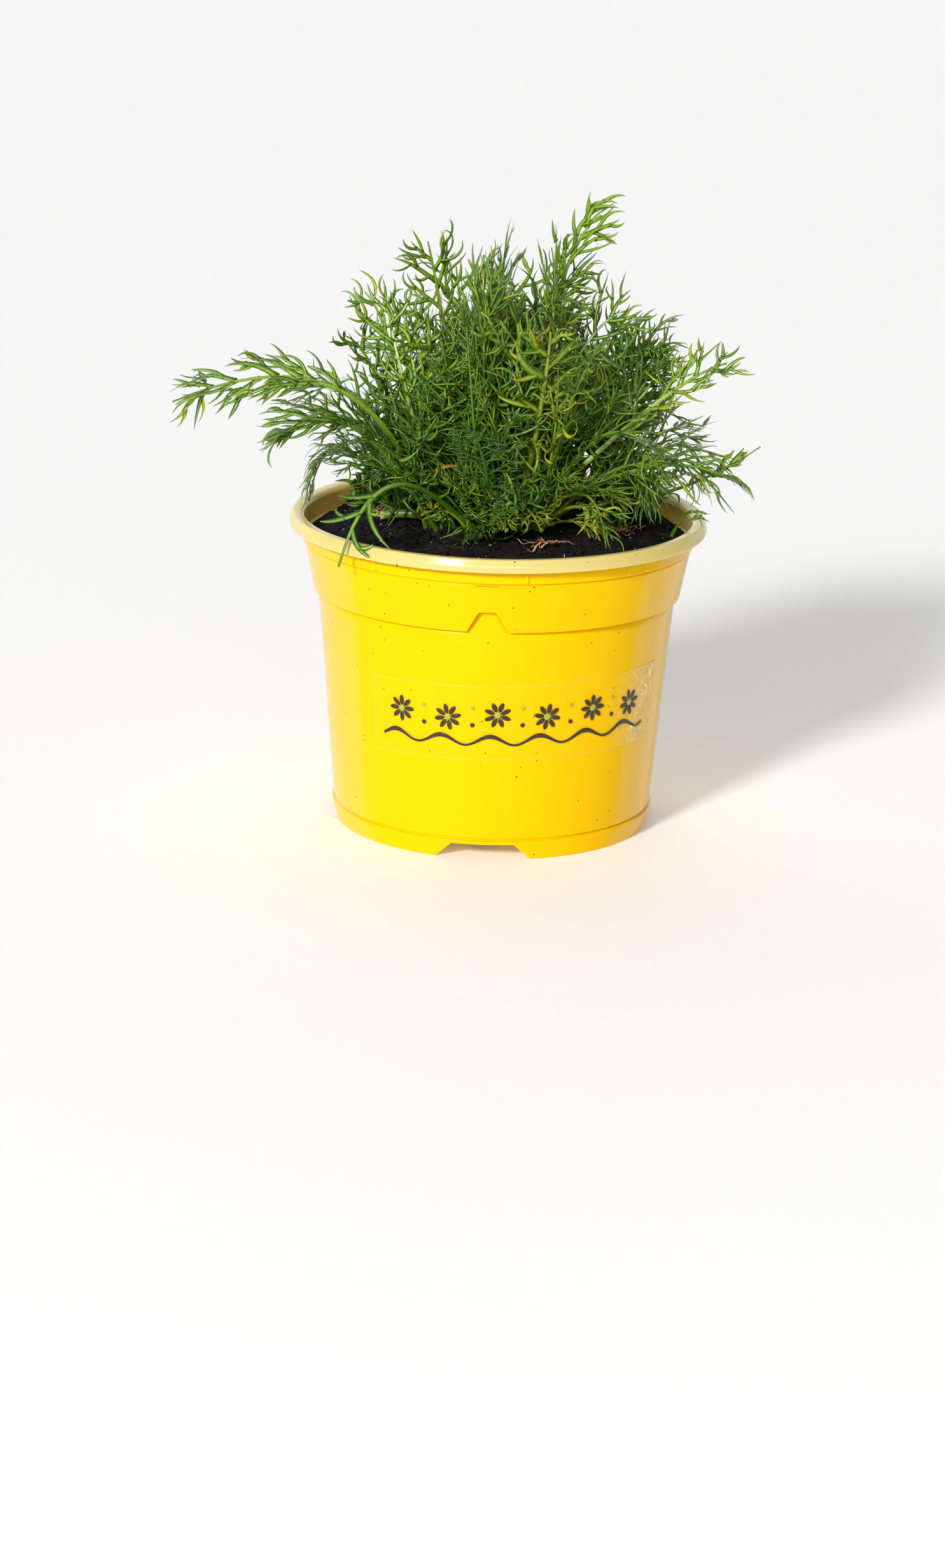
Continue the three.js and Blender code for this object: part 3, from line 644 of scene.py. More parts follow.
def pot_columns(inner, outer):
    """Each row's column angles in one quarter, measured from its notch: evenly spaced between
    knots on both sides of the notch's inner and outer edge angles, and mirrored."""
    zero = np.zeros_like(inner)
    soft = zero + KNOT_SOFTNESS
    knots = [zero, inner - soft, inner + soft, outer - soft, outer + soft, zero + QUARTER / 2]
    spans = []
    for count, low, high in zip(KNOT_COLUMNS, knots[:-1], knots[1:]):
        share = np.arange(count) / count
        spans.append(low[:, None] + (high - low)[:, None] * share)
    half = np.concatenate(spans, 1)
    left = -np.concatenate([half[:, 1:], knots[-1][:, None]], 1)[:, ::-1]
    return np.concatenate([left, half], 1)


def notch_depth(angle, inner, outer):
    """1 between a notch's inner edges, 0 outside its outer ones, straight between, and averaged
    over a small angle so that the corners are rounded."""
    away = np.abs(angle)
    shares = [(outer - away - shift) / (outer - inner) for shift in (-KNOT_SOFTNESS, 0, KNOT_SOFTNESS)]
    return np.mean(np.clip(shares, 0, 1), 0)


def pot_angles(kinds, first, second):
    """Each row's column angles, and each point's depth in a channel or a notch from 0 to 1. Rows at
    the base stretch between the channels' edges, those from the step up between the notches', and
    those on the wall go from the one to the other."""
    inside = np.isin(kinds, ["shoulder_in", "ledge_in", "wall_in", "floor"])
    margin = np.where(inside, WALL, 0.0)
    upness = np.where(np.isin(kinds, ["under", "foot", "floor"]), 0.0, 1.0)
    upness = np.where(np.isin(kinds, ["wall", "wall_in"]), smooth(second, 0.1, 0.75), upness)
    under = np.isin(kinds, ["under", "floor"])
    reach = np.where(under, np.maximum(first, CHANNEL_INNER_END), WALL_FOOT_RADIUS)
    edges = []
    for channel, notch in zip(CHANNEL_HALF_WIDTHS[::-1], NOTCH_HALF_WIDTHS[::-1]):
        below = np.arcsin((channel + margin) / reach)
        above = np.arcsin((notch + margin) / SHOULDER_BOTTOM_RADIUS)
        edges.append(below + (above - below) * upness)
    quarter = pot_columns(*edges)
    cut = np.tile(notch_depth(quarter, edges[0][:, None], edges[1][:, None]), (1, 4))
    turn = CHANNEL_TURN + (NOTCH_TURN - CHANNEL_TURN) * upness
    angles = quarter[:, None, :] + np.arange(4)[None, :, None] * QUARTER + turn[:, None, None]
    return angles.reshape(len(first), -1), cut


def pot_surface():
    """The pot as a closed grid: rows along its section, columns round it. Rows stretch between
    the channels' or notches' edges and the next fixed height, so that both are cut into them."""
    kinds, first, second = pot_rows()
    angles, cut = pot_angles(kinds, first, second)
    a, b, kind = first[:, None] + 0 * cut, second[:, None] + 0 * cut, kinds[:, None]
    r, z = a.copy(), b.copy()

    def shape(name, radius, height):
        nonlocal r, z
        r, z = np.where(kind == name, radius, r), np.where(kind == name, height, z)

    end = CHANNEL_INNER_END
    shape("under", a, cut * CHANNEL_HEIGHT * smooth(a, end, end + 0.6))
    hump = CHANNEL_HEIGHT + WALL - FLOOR
    shape("floor", a, FLOOR + cut * hump * smooth(a, end - WALL, end - 0.3))
    mouth = cut * CHANNEL_HEIGHT
    foot = mouth + (FOOT_BAND_HEIGHT - mouth) * b
    shape("foot", FOOT_RADIUS + (FOOT_BAND_RADIUS - FOOT_RADIUS) * foot / FOOT_BAND_HEIGHT + a, foot)
    edge = STEP_HEIGHT + NOTCH_HEIGHT * cut
    wall = FOOT_BAND_HEIGHT + (edge - FOOT_BAND_HEIGHT) * b
    shape("wall", wall_radius(wall) + a, wall)
    shape("ledge", wall_radius(edge) + (shoulder_radius(edge) - wall_radius(edge)) * a, edge)
    shoulder = edge + (NECK_BOTTOM - edge) * b
    shape("shoulder", shoulder_radius(shoulder), shoulder)
    raised = edge + WALL
    shoulder = raised + (NECK_BOTTOM - raised) * b
    shape("shoulder_in", shoulder_radius(shoulder) - WALL, shoulder)
    ledge = wall_radius(raised) + (shoulder_radius(raised) - wall_radius(raised)) * a
    shape("ledge_in", ledge - WALL, raised)
    bottom = FLOOR + cut * hump
    wall = bottom + (raised - bottom) * b
    shape("wall_in", wall_radius(wall) - WALL, wall)

    r = r + sway(angles, z) * (r > 40)
    quads = grid_quads(*r.shape, wrap=True)
    rim_start = int(np.argmax((kinds == "fixed") & (second > RIM_UNDERSIDE + 0.3)))
    marks = (quads[:, 0] // r.shape[1] >= rim_start).astype(int)
    return polar(r, angles, z).reshape(-1, 3), quads, marks, r.shape


def close_poles(points, quads, shape, marks):
    """Closes a grid's tiny first and last rings with fans of quads to a middle point each."""
    count, columns = shape
    middles = points[[0, -1]] * UP
    ring = np.arange(0, columns, 2)
    after = (ring + 2) % columns
    base = (count - 1) * columns
    first = np.stack([np.full_like(ring, len(points)), after, ring + 1, ring], -1)
    last = np.stack([np.full_like(ring, len(points) + 1), base + ring, base + ring + 1, base + after], -1)
    marks = np.concatenate([marks, np.zeros(len(first)), np.ones(len(last))])
    return np.concatenate([points, middles]), np.concatenate([quads, first, last]), marks


def drill(piece, radius, place, turn):
    """Cuts an upright round hole through a piece's floor at a place and a turn round Z: a drum
    from 2 mm under the base to 12 mm above it, taken away."""
    sides = 32
    angles = np.linspace(0, FULL_TURN, sides, endpoint=False)
    ring = np.stack([radius * np.cos(angles), radius * np.sin(angles) - place, 0 * angles], -1)
    points = np.concatenate([ring - 2 * UP, ring + 12 * UP])
    spin = np.array([[math.cos(turn), math.sin(turn), 0], [-math.sin(turn), math.cos(turn), 0], UP])
    faces = grid_quads(2, sides, wrap=True).tolist()
    faces += [list(range(sides))[::-1], list(range(sides, 2 * sides))]
    drum = bpy.data.meshes.new("drill")
    drum.from_pydata((points @ spin * MM).tolist(), [], faces)
    cutter = placed("drill", drum)
    hole = piece.modifiers.new("hole", "BOOLEAN")
    hole.object = cutter
    hole.solver = "EXACT"
    with bpy.context.temp_override(object=piece, active_object=piece):
        bpy.ops.object.modifier_apply(modifier=hole.name)
    bpy.data.objects.remove(cutter)
    bpy.data.meshes.remove(drum)


def specks_group():
    """Small dark specks of soil that stick to plastic: the inside of a few of the cells of a
    Voronoi pattern, each cell let through by its own random number and a broad noise."""
    inputs = {"Scale": 400.0, "Amount": 0.1, "Size": 0.2}
    tree, given, out = socketed_group("specks", inputs, {"Mask": "Float"})
    place = own_place(tree)
    cells = node(tree, "TexVoronoi", Vector=place, Scale=given["Scale"]).outputs
    random = node(tree, "SeparateColor", Color=cells["Color"]).outputs[0]
    patches = noise(tree, place, 45.0, 2.0)
    chance = times(tree, given["Amount"], less(tree, times(tree, patches, 4.0), 1.2))
    chosen = math_node(tree, "LESS_THAN", random, chance)
    inside = math_node(tree, "LESS_THAN", cells["Distance"], given["Size"])
    feed(tree, out, Mask=times(tree, chosen, inside))
    return tree


def moulding_group():
    """The faint unevenness of moulded plastic: a soft ripple for the height and scuffs for gloss."""
    outputs = {"Height": "Float", "Roughness": "Float"}
    tree, given, out = socketed_group("moulding", {"Scale": 60.0, "Gloss": 0.3}, outputs)
    place = own_place(tree)
    stretched = node(tree, "Mapping", Vector=place, Scale=(1.0, 1.0, 0.25)).outputs["Vector"]
    scuff = ranged(tree, noise(tree, stretched, 700.0, 5.0, Roughness=0.7), 0.58, 0.78)
    rough = math_node(tree, "ADD", given["Gloss"], times(tree, scuff, 0.18))
    feed(tree, out, Height=noise(tree, place, given["Scale"], 2.0), Roughness=rough)
    return tree


def pot_material(name, base, deep, gloss, dirt, specks, moulding):
    """Plastic that wanders between two shades in soft ripples, with a few specks of soil."""
    material, tree, shader = new_material(name)
    finish = grouped(tree, moulding, Scale=40.0, Gloss=gloss)
    mask = grouped(tree, specks, Scale=900.0, Amount=dirt, Size=0.2)["Mask"]
    plain = blended(tree, finish["Height"], colour(*base), colour(*deep))
    shade = blended(tree, mask, plain, colour(70, 50, 30))
    dress(tree, shader, shade, finish["Height"], 0.15, 0.0002, Roughness=finish["Roughness"])
    return material, tree, shader


def pot_materials(specks, moulding):
    """Yellow outside, glossiest where it turns away, and satin cream inside and on the rim, thin
    enough to let some light through."""
    groups = (specks, moulding)
    yellow, tree, shader = pot_material("pot_yellow", (252, 200, 0), (249, 196, 0), 0.2, 0.02, *groups)
    facing = node(tree, "LayerWeight", Blend=0.5).outputs["Facing"]
    sheen = ranged(tree, facing, 0.4, 0.48, end=0.5, interpolation="SMOOTHSTEP")
    feed(tree, shader, Specular_IOR_Level=0.06, Coat_IOR=1.8, Coat_Roughness=0.08, Coat_Weight=sheen)
    cream, tree, shader = pot_material("pot_cream", (226, 209, 134), (217, 198, 118), 0.16, 0.03, *groups)
    feed(tree, shader, Specular_IOR_Level=0.5, Subsurface_Weight=0.45,
         Subsurface_Radius=(1.0, 0.85, 0.3), Subsurface_Scale=0.003)
    return [yellow, cream]


def make_pot(specks, moulding):
    """The pot's closed surface with its two materials, and a drain hole through each channel."""
    points, quads, marks, shape = pot_surface()
    points, quads, marks = close_poles(points, quads, shape, marks)
    materials = pot_materials(specks, moulding)
    pot = add_piece("pot_shell", points, quads, materials, "pot_plastic", ["pot"], marks)
    for quarter in range(4):
        drill(pot, DRAIN_HOLE_RADIUS, DRAIN_HOLE_PLACE, CHANNEL_TURN + quarter * QUARTER)
    return materials


def make_neck_ribs(materials):
    """Small upright ridges on the neck band: parabolas across, rounded off at their ends."""
    across, up = np.meshgrid(np.linspace(-1, 1, 7), np.linspace(0, 1, 9))
    parts = []
    for turn in NECK_RIB_TURNS:
        angle = math.radians(turn) + across * NECK_RIB_HALF_WIDTH / NECK_RADIUS
        z = NECK_BOTTOM + 0.2 + up * (RIM_UNDERSIDE - NECK_BOTTOM - 0.1)
        height = NECK_RIB_HEIGHT * (1 - across ** 2) * smooth(up, -0.05, 0.15)
        radius = NECK_RADIUS + sway(angle, z)
        parts.append(slab(polar(radius + height, angle, z), polar(radius - NECK_RIB_ROOT, angle, z)))
    add_piece("neck_ribs", *heaped(parts), materials[:1], "pot_plastic")


# Label

def on_wall(along, up, lift):
    """Points off the pot's wall by a lift: along the label's middle line and up from it, the line
    running round the wall at the label's slight tilt."""
    angle = LABEL_MID_TURN + along / wall_radius(LABEL_MID_HEIGHT)
    z = LABEL_MID_HEIGHT + up + along * math.tan(LABEL_TILT)
    return polar(wall_radius(z) + sway(angle, z) + lift, angle, z)


def film_wrinkles(along, up):
    """How far the film stands off the wall: round bubbles and straight creases, all of them bell
    curves, near its right end, and a faint ripple elsewhere."""
    crease = sum(share * np.exp(-((along - place - slope * up) / width) ** 2)
                 for share, place, slope, width in CREASES)
    bubble = sum(share * np.exp(-((along - x) ** 2 + (up - y) ** 2) / width)
                 for share, (x, y), width in BUBBLES)
    ripple = 0.03 * np.sin(along * 0.9 + 1.2 * np.sin(up * 0.5)) * np.sin(up * 0.7 + 0.4)
    return 0.14 + ripple + smooth(along, 26, 44) * (0.3 * crease + 0.35 * bubble)


def make_label():
    """The clear film: a thin slab on the wall, with attributes for its border and its loose end."""
    half_length, half_height = LABEL_LENGTH / 2, LABEL_HEIGHT / 2
    columns, rows = FILM_GRID
    along, up = np.meshgrid(
        np.linspace(-half_length, half_length, columns), np.linspace(-half_height, half_height, rows))
    lift = film_wrinkles(along, up)
    points, quads = slab(on_wall(along, up, lift + FILM_THICKNESS), on_wall(along, up, lift))
    border = np.minimum(half_length - np.abs(along), half_height - np.abs(up))
    # Near its edges the film's material paints a highlight
    edge = 1 - smooth(border, 0.05, 0.4)
    steepness = np.hypot(*np.gradient(lift, 0.47))
    # Steep wrinkles at the loose end get more painted glint
    loose = smooth(along, 24, 40) * (0.5 + 0.5 * smooth(steepness, 0.05, 0.3))
    values = {"border": np.tile(edge.ravel(), 2), "loose": np.tile(loose.ravel(), 2)}
    film = [film_material()]
    add_piece("label_clear_film", points, quads, film, "label_film", ["label_film"], values=values)


def printed(along, up):
    """Ink on the film where a grid of places lies: a slab that is much thinner than the film."""
    base = film_wrinkles(along, up) + FILM_THICKNESS
    return slab(on_wall(along, up, base + 0.06), on_wall(along, up, base + 0.01))


def printed_oval(centre, half, turn):
    """An ellipse of ink: a square grid drawn in to a disc, a(1 - b2/2)^1/2, stretched and turned."""
    a, b = np.meshgrid(np.linspace(-1, 1, 5), np.linspace(-1, 1, 5))
    x, y = a * np.sqrt(1 - b * b / 2) * half[0], b * np.sqrt(1 - a * a / 2) * half[1]
    c, s = math.cos(turn), math.sin(turn)
    return printed(centre[0] + x * c - y * s, centre[1] + x * s + y * c)


def make_print():
    """A row of daisies, every other one a little lower, with a dark and a pale dot between two of
    them, and below them a wavy line, a sine whose width swells and shrinks."""
    along, share = np.meshgrid(np.linspace(*WAVY_ENDS, 260), np.linspace(-1, 1, 5))
    thick = WAVY_LINE / 2 * (0.75 + 0.25 * np.sin(along * 0.45))
    wave = WAVY_HEIGHT + WAVY_SWING * np.sin(FULL_TURN * along / DAISY_STEP)
    dark = [printed(along, wave + share * thick)]
    pale = []
    for number in range(DAISIES):
        middle = DAISY_START + DAISY_STEP * number
        height = DAISY_HEIGHT + DAISY_SHIFT * (-1) ** number
        for petal in range(PETALS):
            angle = FULL_TURN * petal / PETALS + 0.2 * number
            centre = (middle + PETAL_REACH * math.cos(angle), height + PETAL_REACH * math.sin(angle))
            dark.append(printed_oval(centre, PETAL_HALVES, angle))
        pale.append(printed_oval((middle, height), (MIDDLE_HALF, MIDDLE_HALF), 0))
        if number < DAISIES - 1:
            for dots, (place, half) in ((dark, LOW_DOT), (pale, HIGH_DOT)):
                dots.append(printed_oval((middle + DAISY_STEP / 2, place), (half, half), 0))
    brown = print_material("print_brown", (66, 46, 30), (48, 32, 22))
    green = print_material("print_green", (176, 190, 60), (150, 168, 44))
    add_piece("label_print_dark", *heaped(dark), [brown], "label_film")
    add_piece("label_print_pale", *heaped(pale), [green], "label_film")


def film_material():
    """Clear film: see-through, with a faint pale border that is a painted highlight along its edges, and at
    its loose end fine whitish wrinkles, painted glints on the crests of a warped noise."""
    material, tree, shader = new_material("clear_film", Roughness=0.12, Specular_IOR_Level=0.5)
    loose = read(tree, "loose")
    warped = noise(tree, own_place(tree), 260.0, 5.0, Roughness=0.65, Distortion=1.5)
    crest = math_node(tree, "ABSOLUTE", less(tree, warped, 0.5))
    # Whitish crests at the loose end: painted glints on the wrinkles
    glint_crests = times(tree, loose, ranged(tree, crest, 0.0, 0.06, 1.0, 0.12))
    # Pale border: a painted highlight along the film's edges, stronger at its loose end
    pale = times(tree, read(tree, "border"), ranged(tree, loose, 0.0, 1.0, 0.12, 0.6))
    solid = math_node(tree, "ADD", pale, times(tree, glint_crests, 0.8), clamp=True)
    feed(tree, shader, Base_Color=blended(tree, glint_crests, colour(255, 240, 130), colour(255, 252, 236)),
         Alpha=math_node(tree, "ADD", solid, 0.004))
    return material


def print_material(name, base, deep):
    """Printed ink, a little uneven where it is thin."""
    material, tree, shader = new_material(name, Roughness=0.3)
    thin = noise(tree, own_place(tree), 900.0, 3.0)
    feed(tree, shader, Base_Color=blended(tree, thin, colour(*base), colour(*deep)))
    return material


# Compost

def soil_top(x, y):
    """Height of the compost's middle surface: a low mound, falling with the square of the radius."""
    share = np.hypot(x, y) / SOIL_EDGE_RADIUS
    return SOIL_CENTRE_HEIGHT - SOIL_EDGE_DROP * share * share


def hashed(cells, seed):
    """A number from 0 to 1 for each whole-numbered cell, the same each time: the broken part of a
    large sine of its scaled coordinates."""
    mixed = cells[..., 0] * 127.1 + cells[..., 1] * 311.7 + seed * 74.7
    return np.modf(np.abs(np.sin(mixed) * 43758.5453))[0]


def crumbs(x, y, size, seed):
    """Rounded lumps: one minus the distance to the nearest of points strewn one to a cell."""
    cell = np.stack([np.floor(x / size), np.floor(y / size)], -1)
    nearest = np.full(x.shape, 9.0)
    for dx in (-1, 0, 1):
        for dy in (-1, 0, 1):
            near = cell + [dx, dy]
            px = (near[..., 0] + 0.15 + 0.7 * hashed(near, seed)) * size
            py = (near[..., 1] + 0.15 + 0.7 * hashed(near, seed + 5)) * size
            weight = 0.8 + 0.7 * hashed(near, seed + 9)
            nearest = np.minimum(nearest, np.hypot(x - px, y - py) / size * weight)
    return 1 - np.clip(nearest, 0, 1) ** 1.4


def soil_height(x, y):
    """The compost's lumpy surface: the mound, lumps of three sizes, and two bell curves, a torn
    edge raised at the back left and a clod at the back right."""
    rough = sum(height * crumbs(x, y, size, seed) for seed, (height, size) in enumerate(SOIL_LUMPS, 1))
    risen = sum(height * np.exp(-((x - across) ** 2 / wide + (y - back) ** 2 / deep))
                for height, (across, back), (wide, deep) in SOIL_RISES)
    settled = 1 - 0.6 * smooth(np.hypot(x, y), 46, 55)
    return soil_top(x, y) + (rough - SOIL_LUMP_MEAN) * settled + risen * (0.6 + 0.4 * rough / 4)


def soil_surface():
    """A closed polar grid: lumpy on top, down the pot's inside at a small gap, and flat below."""
    rows, columns = SOIL_GRID
    radii = np.concatenate([[POLE_RADIUS], np.linspace(0.3, 54.2, rows)])
    angles = np.linspace(0, FULL_TURN, columns, endpoint=False)
    radius, angle = np.meshgrid(radii, angles, indexing="ij")
    top = polar(radius, angle, 0 * angle)
    top[..., 2] = soil_height(top[..., 0], top[..., 1])
    sides = [polar(radius, angles, 0 * angles + height)[None] for radius, height in SOIL_SIDES]
    grid = np.concatenate([top, *sides])
    quads = grid_quads(*grid.shape[:2], wrap=True)[:, ::-1]
    return grid.reshape(-1, 3), quads, grid.shape[:2]


def crumble_group():
    """Peat: near-black, with brown fibrous flecks, and a fine broken surface for the bump."""
    outputs = {"Color": "Color", "Height": "Float", "Roughness": "Float"}
    tree, given, out = socketed_group("crumble", {"Brown": 0.3}, outputs)
    place = own_place(tree)
    fine = noise(tree, place, 1100.0, 6.0, Roughness=0.7)
    dark = blended(tree, fine, colour(2, 2, 2), colour(20, 18, 16))
    fleck = ranged(tree, noise(tree, place, 160.0, 4.0), 0.5, 0.72)
    shade = blended(tree, times(tree, fleck, given["Brown"]), dark, colour(50, 41, 32))
    rough = math_node(tree, "ADD", times(tree, fine, -0.3), 1.05)
    feed(tree, out, Color=shade, Height=fine, Roughness=rough)
    return tree


def soil_material(crumble, name, brown):
    """Peat, with a share of brown in its flecks."""
    material, tree, shader = new_material(name, Specular_IOR_Level=0.3)
    peat = grouped(tree, crumble, Brown=brown)
    dress(tree, shader, peat["Color"], peat["Height"], 0.8, 0.0005, Roughness=peat["Roughness"])
    return material


def make_soil(crumble):
    """The compost's closed surface. Its grid runs from the top down, so its two fans are turned."""
    points, quads, shape = soil_surface()
    points, quads, _ = close_poles(points, quads, shape, np.zeros(len(quads)))
    fans = 2 * (shape[1] // 2)
    quads[-fans:] = quads[-fans:, ::-1]
    add_piece("compost_bed", points, quads, [soil_material(crumble, "compost", 0.35)], "compost", ["soil"])


# Leaves are made of strands: narrow bands, each with points along its middle line, and there
# its heading, the direction across its flat side, and its greatest half width

def drawn(angles, s):
    """Angles that go from the first to the last of three as s runs from 0 to 1, drawn towards the
    middle one: a(1 - s)2 + 2 b s(1 - s) + c s2."""
    first, middle, last = (np.asarray(angle)[:, None] for angle in angles)
    return first * (1 - s) ** 2 + 2 * middle * s * (1 - s) + last * s * s


def squared(side, along):
    """Directions made square to those along a strand."""
    return unit(side - along * np.sum(side * along, -1, keepdims=True))


def framed(line, side, half):
    """Strands from their lines, with headings along them and sides made square to those."""
    along = unit(np.gradient(line, axis=1))
    return {"line": line, "along": along, "side": squared(side, along), "half": half}


def grown(bases, turn, rise, roll, length, half, steps, sag=0.0):
    """Strands that start at frames of a point, heading, side and upward direction. Each turns in
    its frame's flat, rises out of it and rolls by angles at its base, middle and tip. Its points
    are the running sum of its heading, less a sag that grows with the square of the way along."""
    point, along, side, up = (part[:, None] for part in bases)
    s = np.linspace(0, 1, steps + 1)

    def heading(share):
        a, b = drawn(turn, share)[..., None], drawn(rise, share)[..., None]
        ahead = (along * np.cos(a) + side * np.sin(a)) * np.cos(b) + up * np.sin(b)
        return ahead, side * np.cos(a) - along * np.sin(a)

    step = heading((s[1:] + s[:-1]) / 2)[0] * (length / steps)[:, None, None]
    line = np.concatenate([point, point + np.cumsum(step, 1)], 1)
    line = line - UP * (sag * length)[:, None, None] * (s * s)[None, :, None]
    ahead, across = heading(s)
    spin = drawn(roll, s)[..., None]
    return framed(line, across * np.cos(spin) + np.cross(ahead, across) * np.sin(spin), half)


def frame_at(strands, which, share):
    """The point, heading, side and upward direction on the picked strands, each at its share."""
    place = np.clip(share, 0, 0.999) * (strands["line"].shape[1] - 1)
    low = place.astype(int)
    rest = (place - low)[:, None]
    point, along, side = (
        part[which, low] * (1 - rest) + part[which, low + 1] * rest
        for part in (strands["line"], strands["along"], strands["side"]))
    along = unit(along)
    side = squared(side, along)
    return point, along, side, np.cross(along, side)


def joined(groups):
    """Several groups of strands with equally many points as one."""
    return {key: np.concatenate([group[key] for group in groups]) for key in groups[0]}


def lobe_width(s):
    """A lobe's half width as a share: flared where it leaves its leaflet, as the web between two
    lobes is, full at a third of the way, and drawn out to a sharp tip."""
    body = 0.85 + 0.3 * smooth(s, 0.05, 0.35) + 0.5 * (1 - smooth(s, 0, 0.14))
    return body * (1 - 0.97 * s) ** 0.65


def leaflet_width(s):
    """A leaflet's half width as a share: a strap with a flared foot, drawn out to a sharp tip."""
    flare = 1 + 0.35 * (1 - smooth(s, 0, 0.12))
    return flare * (1 - 0.97 * smooth(s, 0.2, 1.3) / smooth(1.0, 0.2, 1.3)) ** 0.7


def stalk_width(s):
    """A stalk's half width as a share: a flared foot, then a slow taper to the leaf's end."""
    return 1.25 - 0.3 * smooth(s, 0, 0.15) - 0.72 * s


def strand_mesh(strands, section, width, tone):
    """Strands as closed bands: the section carried along each line and scaled by its width. Also
    gives each point's tone, place along its strand and side of its section."""
    line, side = strands["line"], strands["side"]
    count, rings = line.shape[:2]
    corners = len(section)
    s = np.linspace(0, 1, rings)
    up = np.cross(strands["along"], side)
    half = (strands["half"][:, None] * width(s))[..., None, None]
    ring = side[:, :, None] * section[:, 0, None] + up[:, :, None] * section[:, 1, None]
    points = line[:, :, None] + ring * half
    cap = np.array([(0, 1, 2, 7), (7, 2, 3, 6), (6, 3, 4, 5)] if corners > 4 else [(0, 1, 2, 3)])
    tube = grid_quads(rings, corners, wrap=True)[:, ::-1]
    one = np.concatenate([tube, cap, cap[:, ::-1] + (rings - 1) * corners])
    quads = (one[None] + (np.arange(count) * rings * corners)[:, None, None]).reshape(-1, 4)
    tones = np.broadcast_to(tone, count)[:, None, None]
    values = {"tone": tones, "along": s[None, :, None], "face": section[:, 2]}
    size = (count, rings, corners)
    values = {key: np.broadcast_to(value, size).ravel() for key, value in values.items()}
    return points.reshape(-1, 3), quads, values


def gathered(meshes):
    """Several meshes with values as one."""
    values = {key: np.concatenate([mesh[2][key] for mesh in meshes]) for key in meshes[0][2]}
    return *heaped(meshes), values


def midrib(base, via, tip, roll, half, steps=20):
    """The quadratic curve from base to tip through via at its half way, begun a little before its
    base, as one strand. Its side is level and square to the way from base to tip, then rolled."""
    control = 2 * via - 0.5 * (base + tip)
    s = np.linspace(-0.07, 1, steps + 1)[:, None]
    line = base * (1 - s) ** 2 + 2 * control * s * (1 - s) + tip * s * s
    level = unit(np.array([base[1] - tip[1], tip[0] - base[0], 0.0]))
    turn = math.radians(roll)
    side = level * math.cos(turn) + np.cross(unit(tip - base), level) * math.sin(turn)
    return framed(line[None], np.broadcast_to(side, (1, steps + 1, 3)), np.array([half]))


def three(rng, angles, noise, count, hands=1.0, sweep=0.0):
    """Angles at base, middle and tip for each strand, in radians, with noise in degrees that grows
    towards the tip: to its own hand, and with a sweep to one side that grows likewise."""
    return [
        np.radians(hands * (angle + rng.normal(0, noise * wild, count)) + sweep * share)
        for angle, wild, share in zip(angles, (0.8, 1, 2.4), (0, 0.6, 1))]


def branched(rng, growth, shape, bases, angles, hand, sweep, length, half):
    """Strands that start at frames as a kind's leaflets, lobes or forks: at angles to their own
    hand, with a sweep, lengths, and half widths before their noise."""
    count = len(length)
    turn = three(rng, angles, growth.turn_noise, count, hand, sweep)
    rise = [rng.normal(growth.rise, shape.spread * share, count) for share in growth.rise_noise]
    roll = [rng.normal(0, growth.roll_noise, count) for _ in range(3)]
    half = half * rng.uniform(*growth.width, count)
    return grown(bases, turn, rise, roll, length, half, growth.steps, shape.sag)


def leaf_strands(rib, kind, leaflet, rng):
    """A midrib's leaflets, their lobes and the forks of some lobes, as strands. No leaflet reaches
    much past the midrib's tip, and no lobe is much longer than its leaflet."""
    shape = KINDS[kind]
    low, high = shape.reach
    count = 2 * shape.pairs
    order = np.arange(count)
    place = (order // 2 + 0.4 * (order % 2)) / (shape.pairs - 0.6)
    share = low + (high - low) * place + rng.normal(0, 0.012, count)
    hand = np.where(order % 2, 1.0, -1.0)
    whole = np.linalg.norm(np.diff(rib["line"][0], axis=0), axis=-1).sum()
    bulge = 0.75 + 0.45 * np.sin(math.pi * (0.2 + 0.6 * place))
    length = 1.25 * leaflet * bulge * rng.uniform(0.85, 1.15, count)
    length = np.minimum(length, whole * (1 - share) * rng.uniform(0.85, 1.1, count))
    bases = frame_at(rib, np.zeros(count, int), share)
    leaflets = branched(rng, LEAFLET, shape, bases, shape.angle, hand, shape.sweep, length, shape.half[1])

    which = np.repeat(np.arange(count), shape.lobes)
    order = np.tile(np.arange(shape.lobes), count)
    total = count * shape.lobes
    place = (order + 0.5 + rng.uniform(-0.3, 0.3, total)) / shape.lobes
    hand = np.where((order + which) % 2, 1.0, -1.0)
    length = np.minimum(shape.lobe * leaflet * (1.05 - 0.35 * place), 1.1 * length[which])
    length = length * rng.uniform(0.6, 1.15, total)
    bases = frame_at(leaflets, which, 0.12 + 0.62 * place)
    angles, sweep = shape.lobe_angle, shape.sweep / 2
    lobes = branched(rng, LOBE, shape, bases, angles, hand, sweep, length, shape.half[2])

    forked = np.flatnonzero(rng.random(total) < shape.forks)
    amount = len(forked)
    hand = np.where(rng.random(amount) < 0.5, 1.0, -1.0)
    share = rng.uniform(0.15, 0.4, amount)
    length = length[forked] * rng.uniform(0.5, 0.75, amount)
    bases = frame_at(lobes, forked, share)
    forks = branched(rng, FORK, shape, bases, angles, hand, 0, length, lobes["half"][forked])
    return leaflets, joined([lobes, forks])


def leaf_mesh(rib, kind, leaflet, tone, rng, stalk=STALK_TONE):
    """One leaf: its midrib as a channelled stalk of a tone of its own, and its leaflets and lobes
    as flat bands."""
    leaflets, lobes = leaf_strands(rib, kind, leaflet, rng)
    leaflet_tones = tone + 0.03 + rng.normal(0, 0.03, len(leaflets["half"]))
    lobe_tones = tone + rng.normal(0, 0.17, len(lobes["half"]))
    return gathered([
        strand_mesh(rib, STALK_SECTION, stalk_width, tone + stalk),
        strand_mesh(leaflets, LOBE_SECTION, leaflet_width, leaflet_tones),
        strand_mesh(lobes, LOBE_SECTION, lobe_width, lobe_tones),
    ])


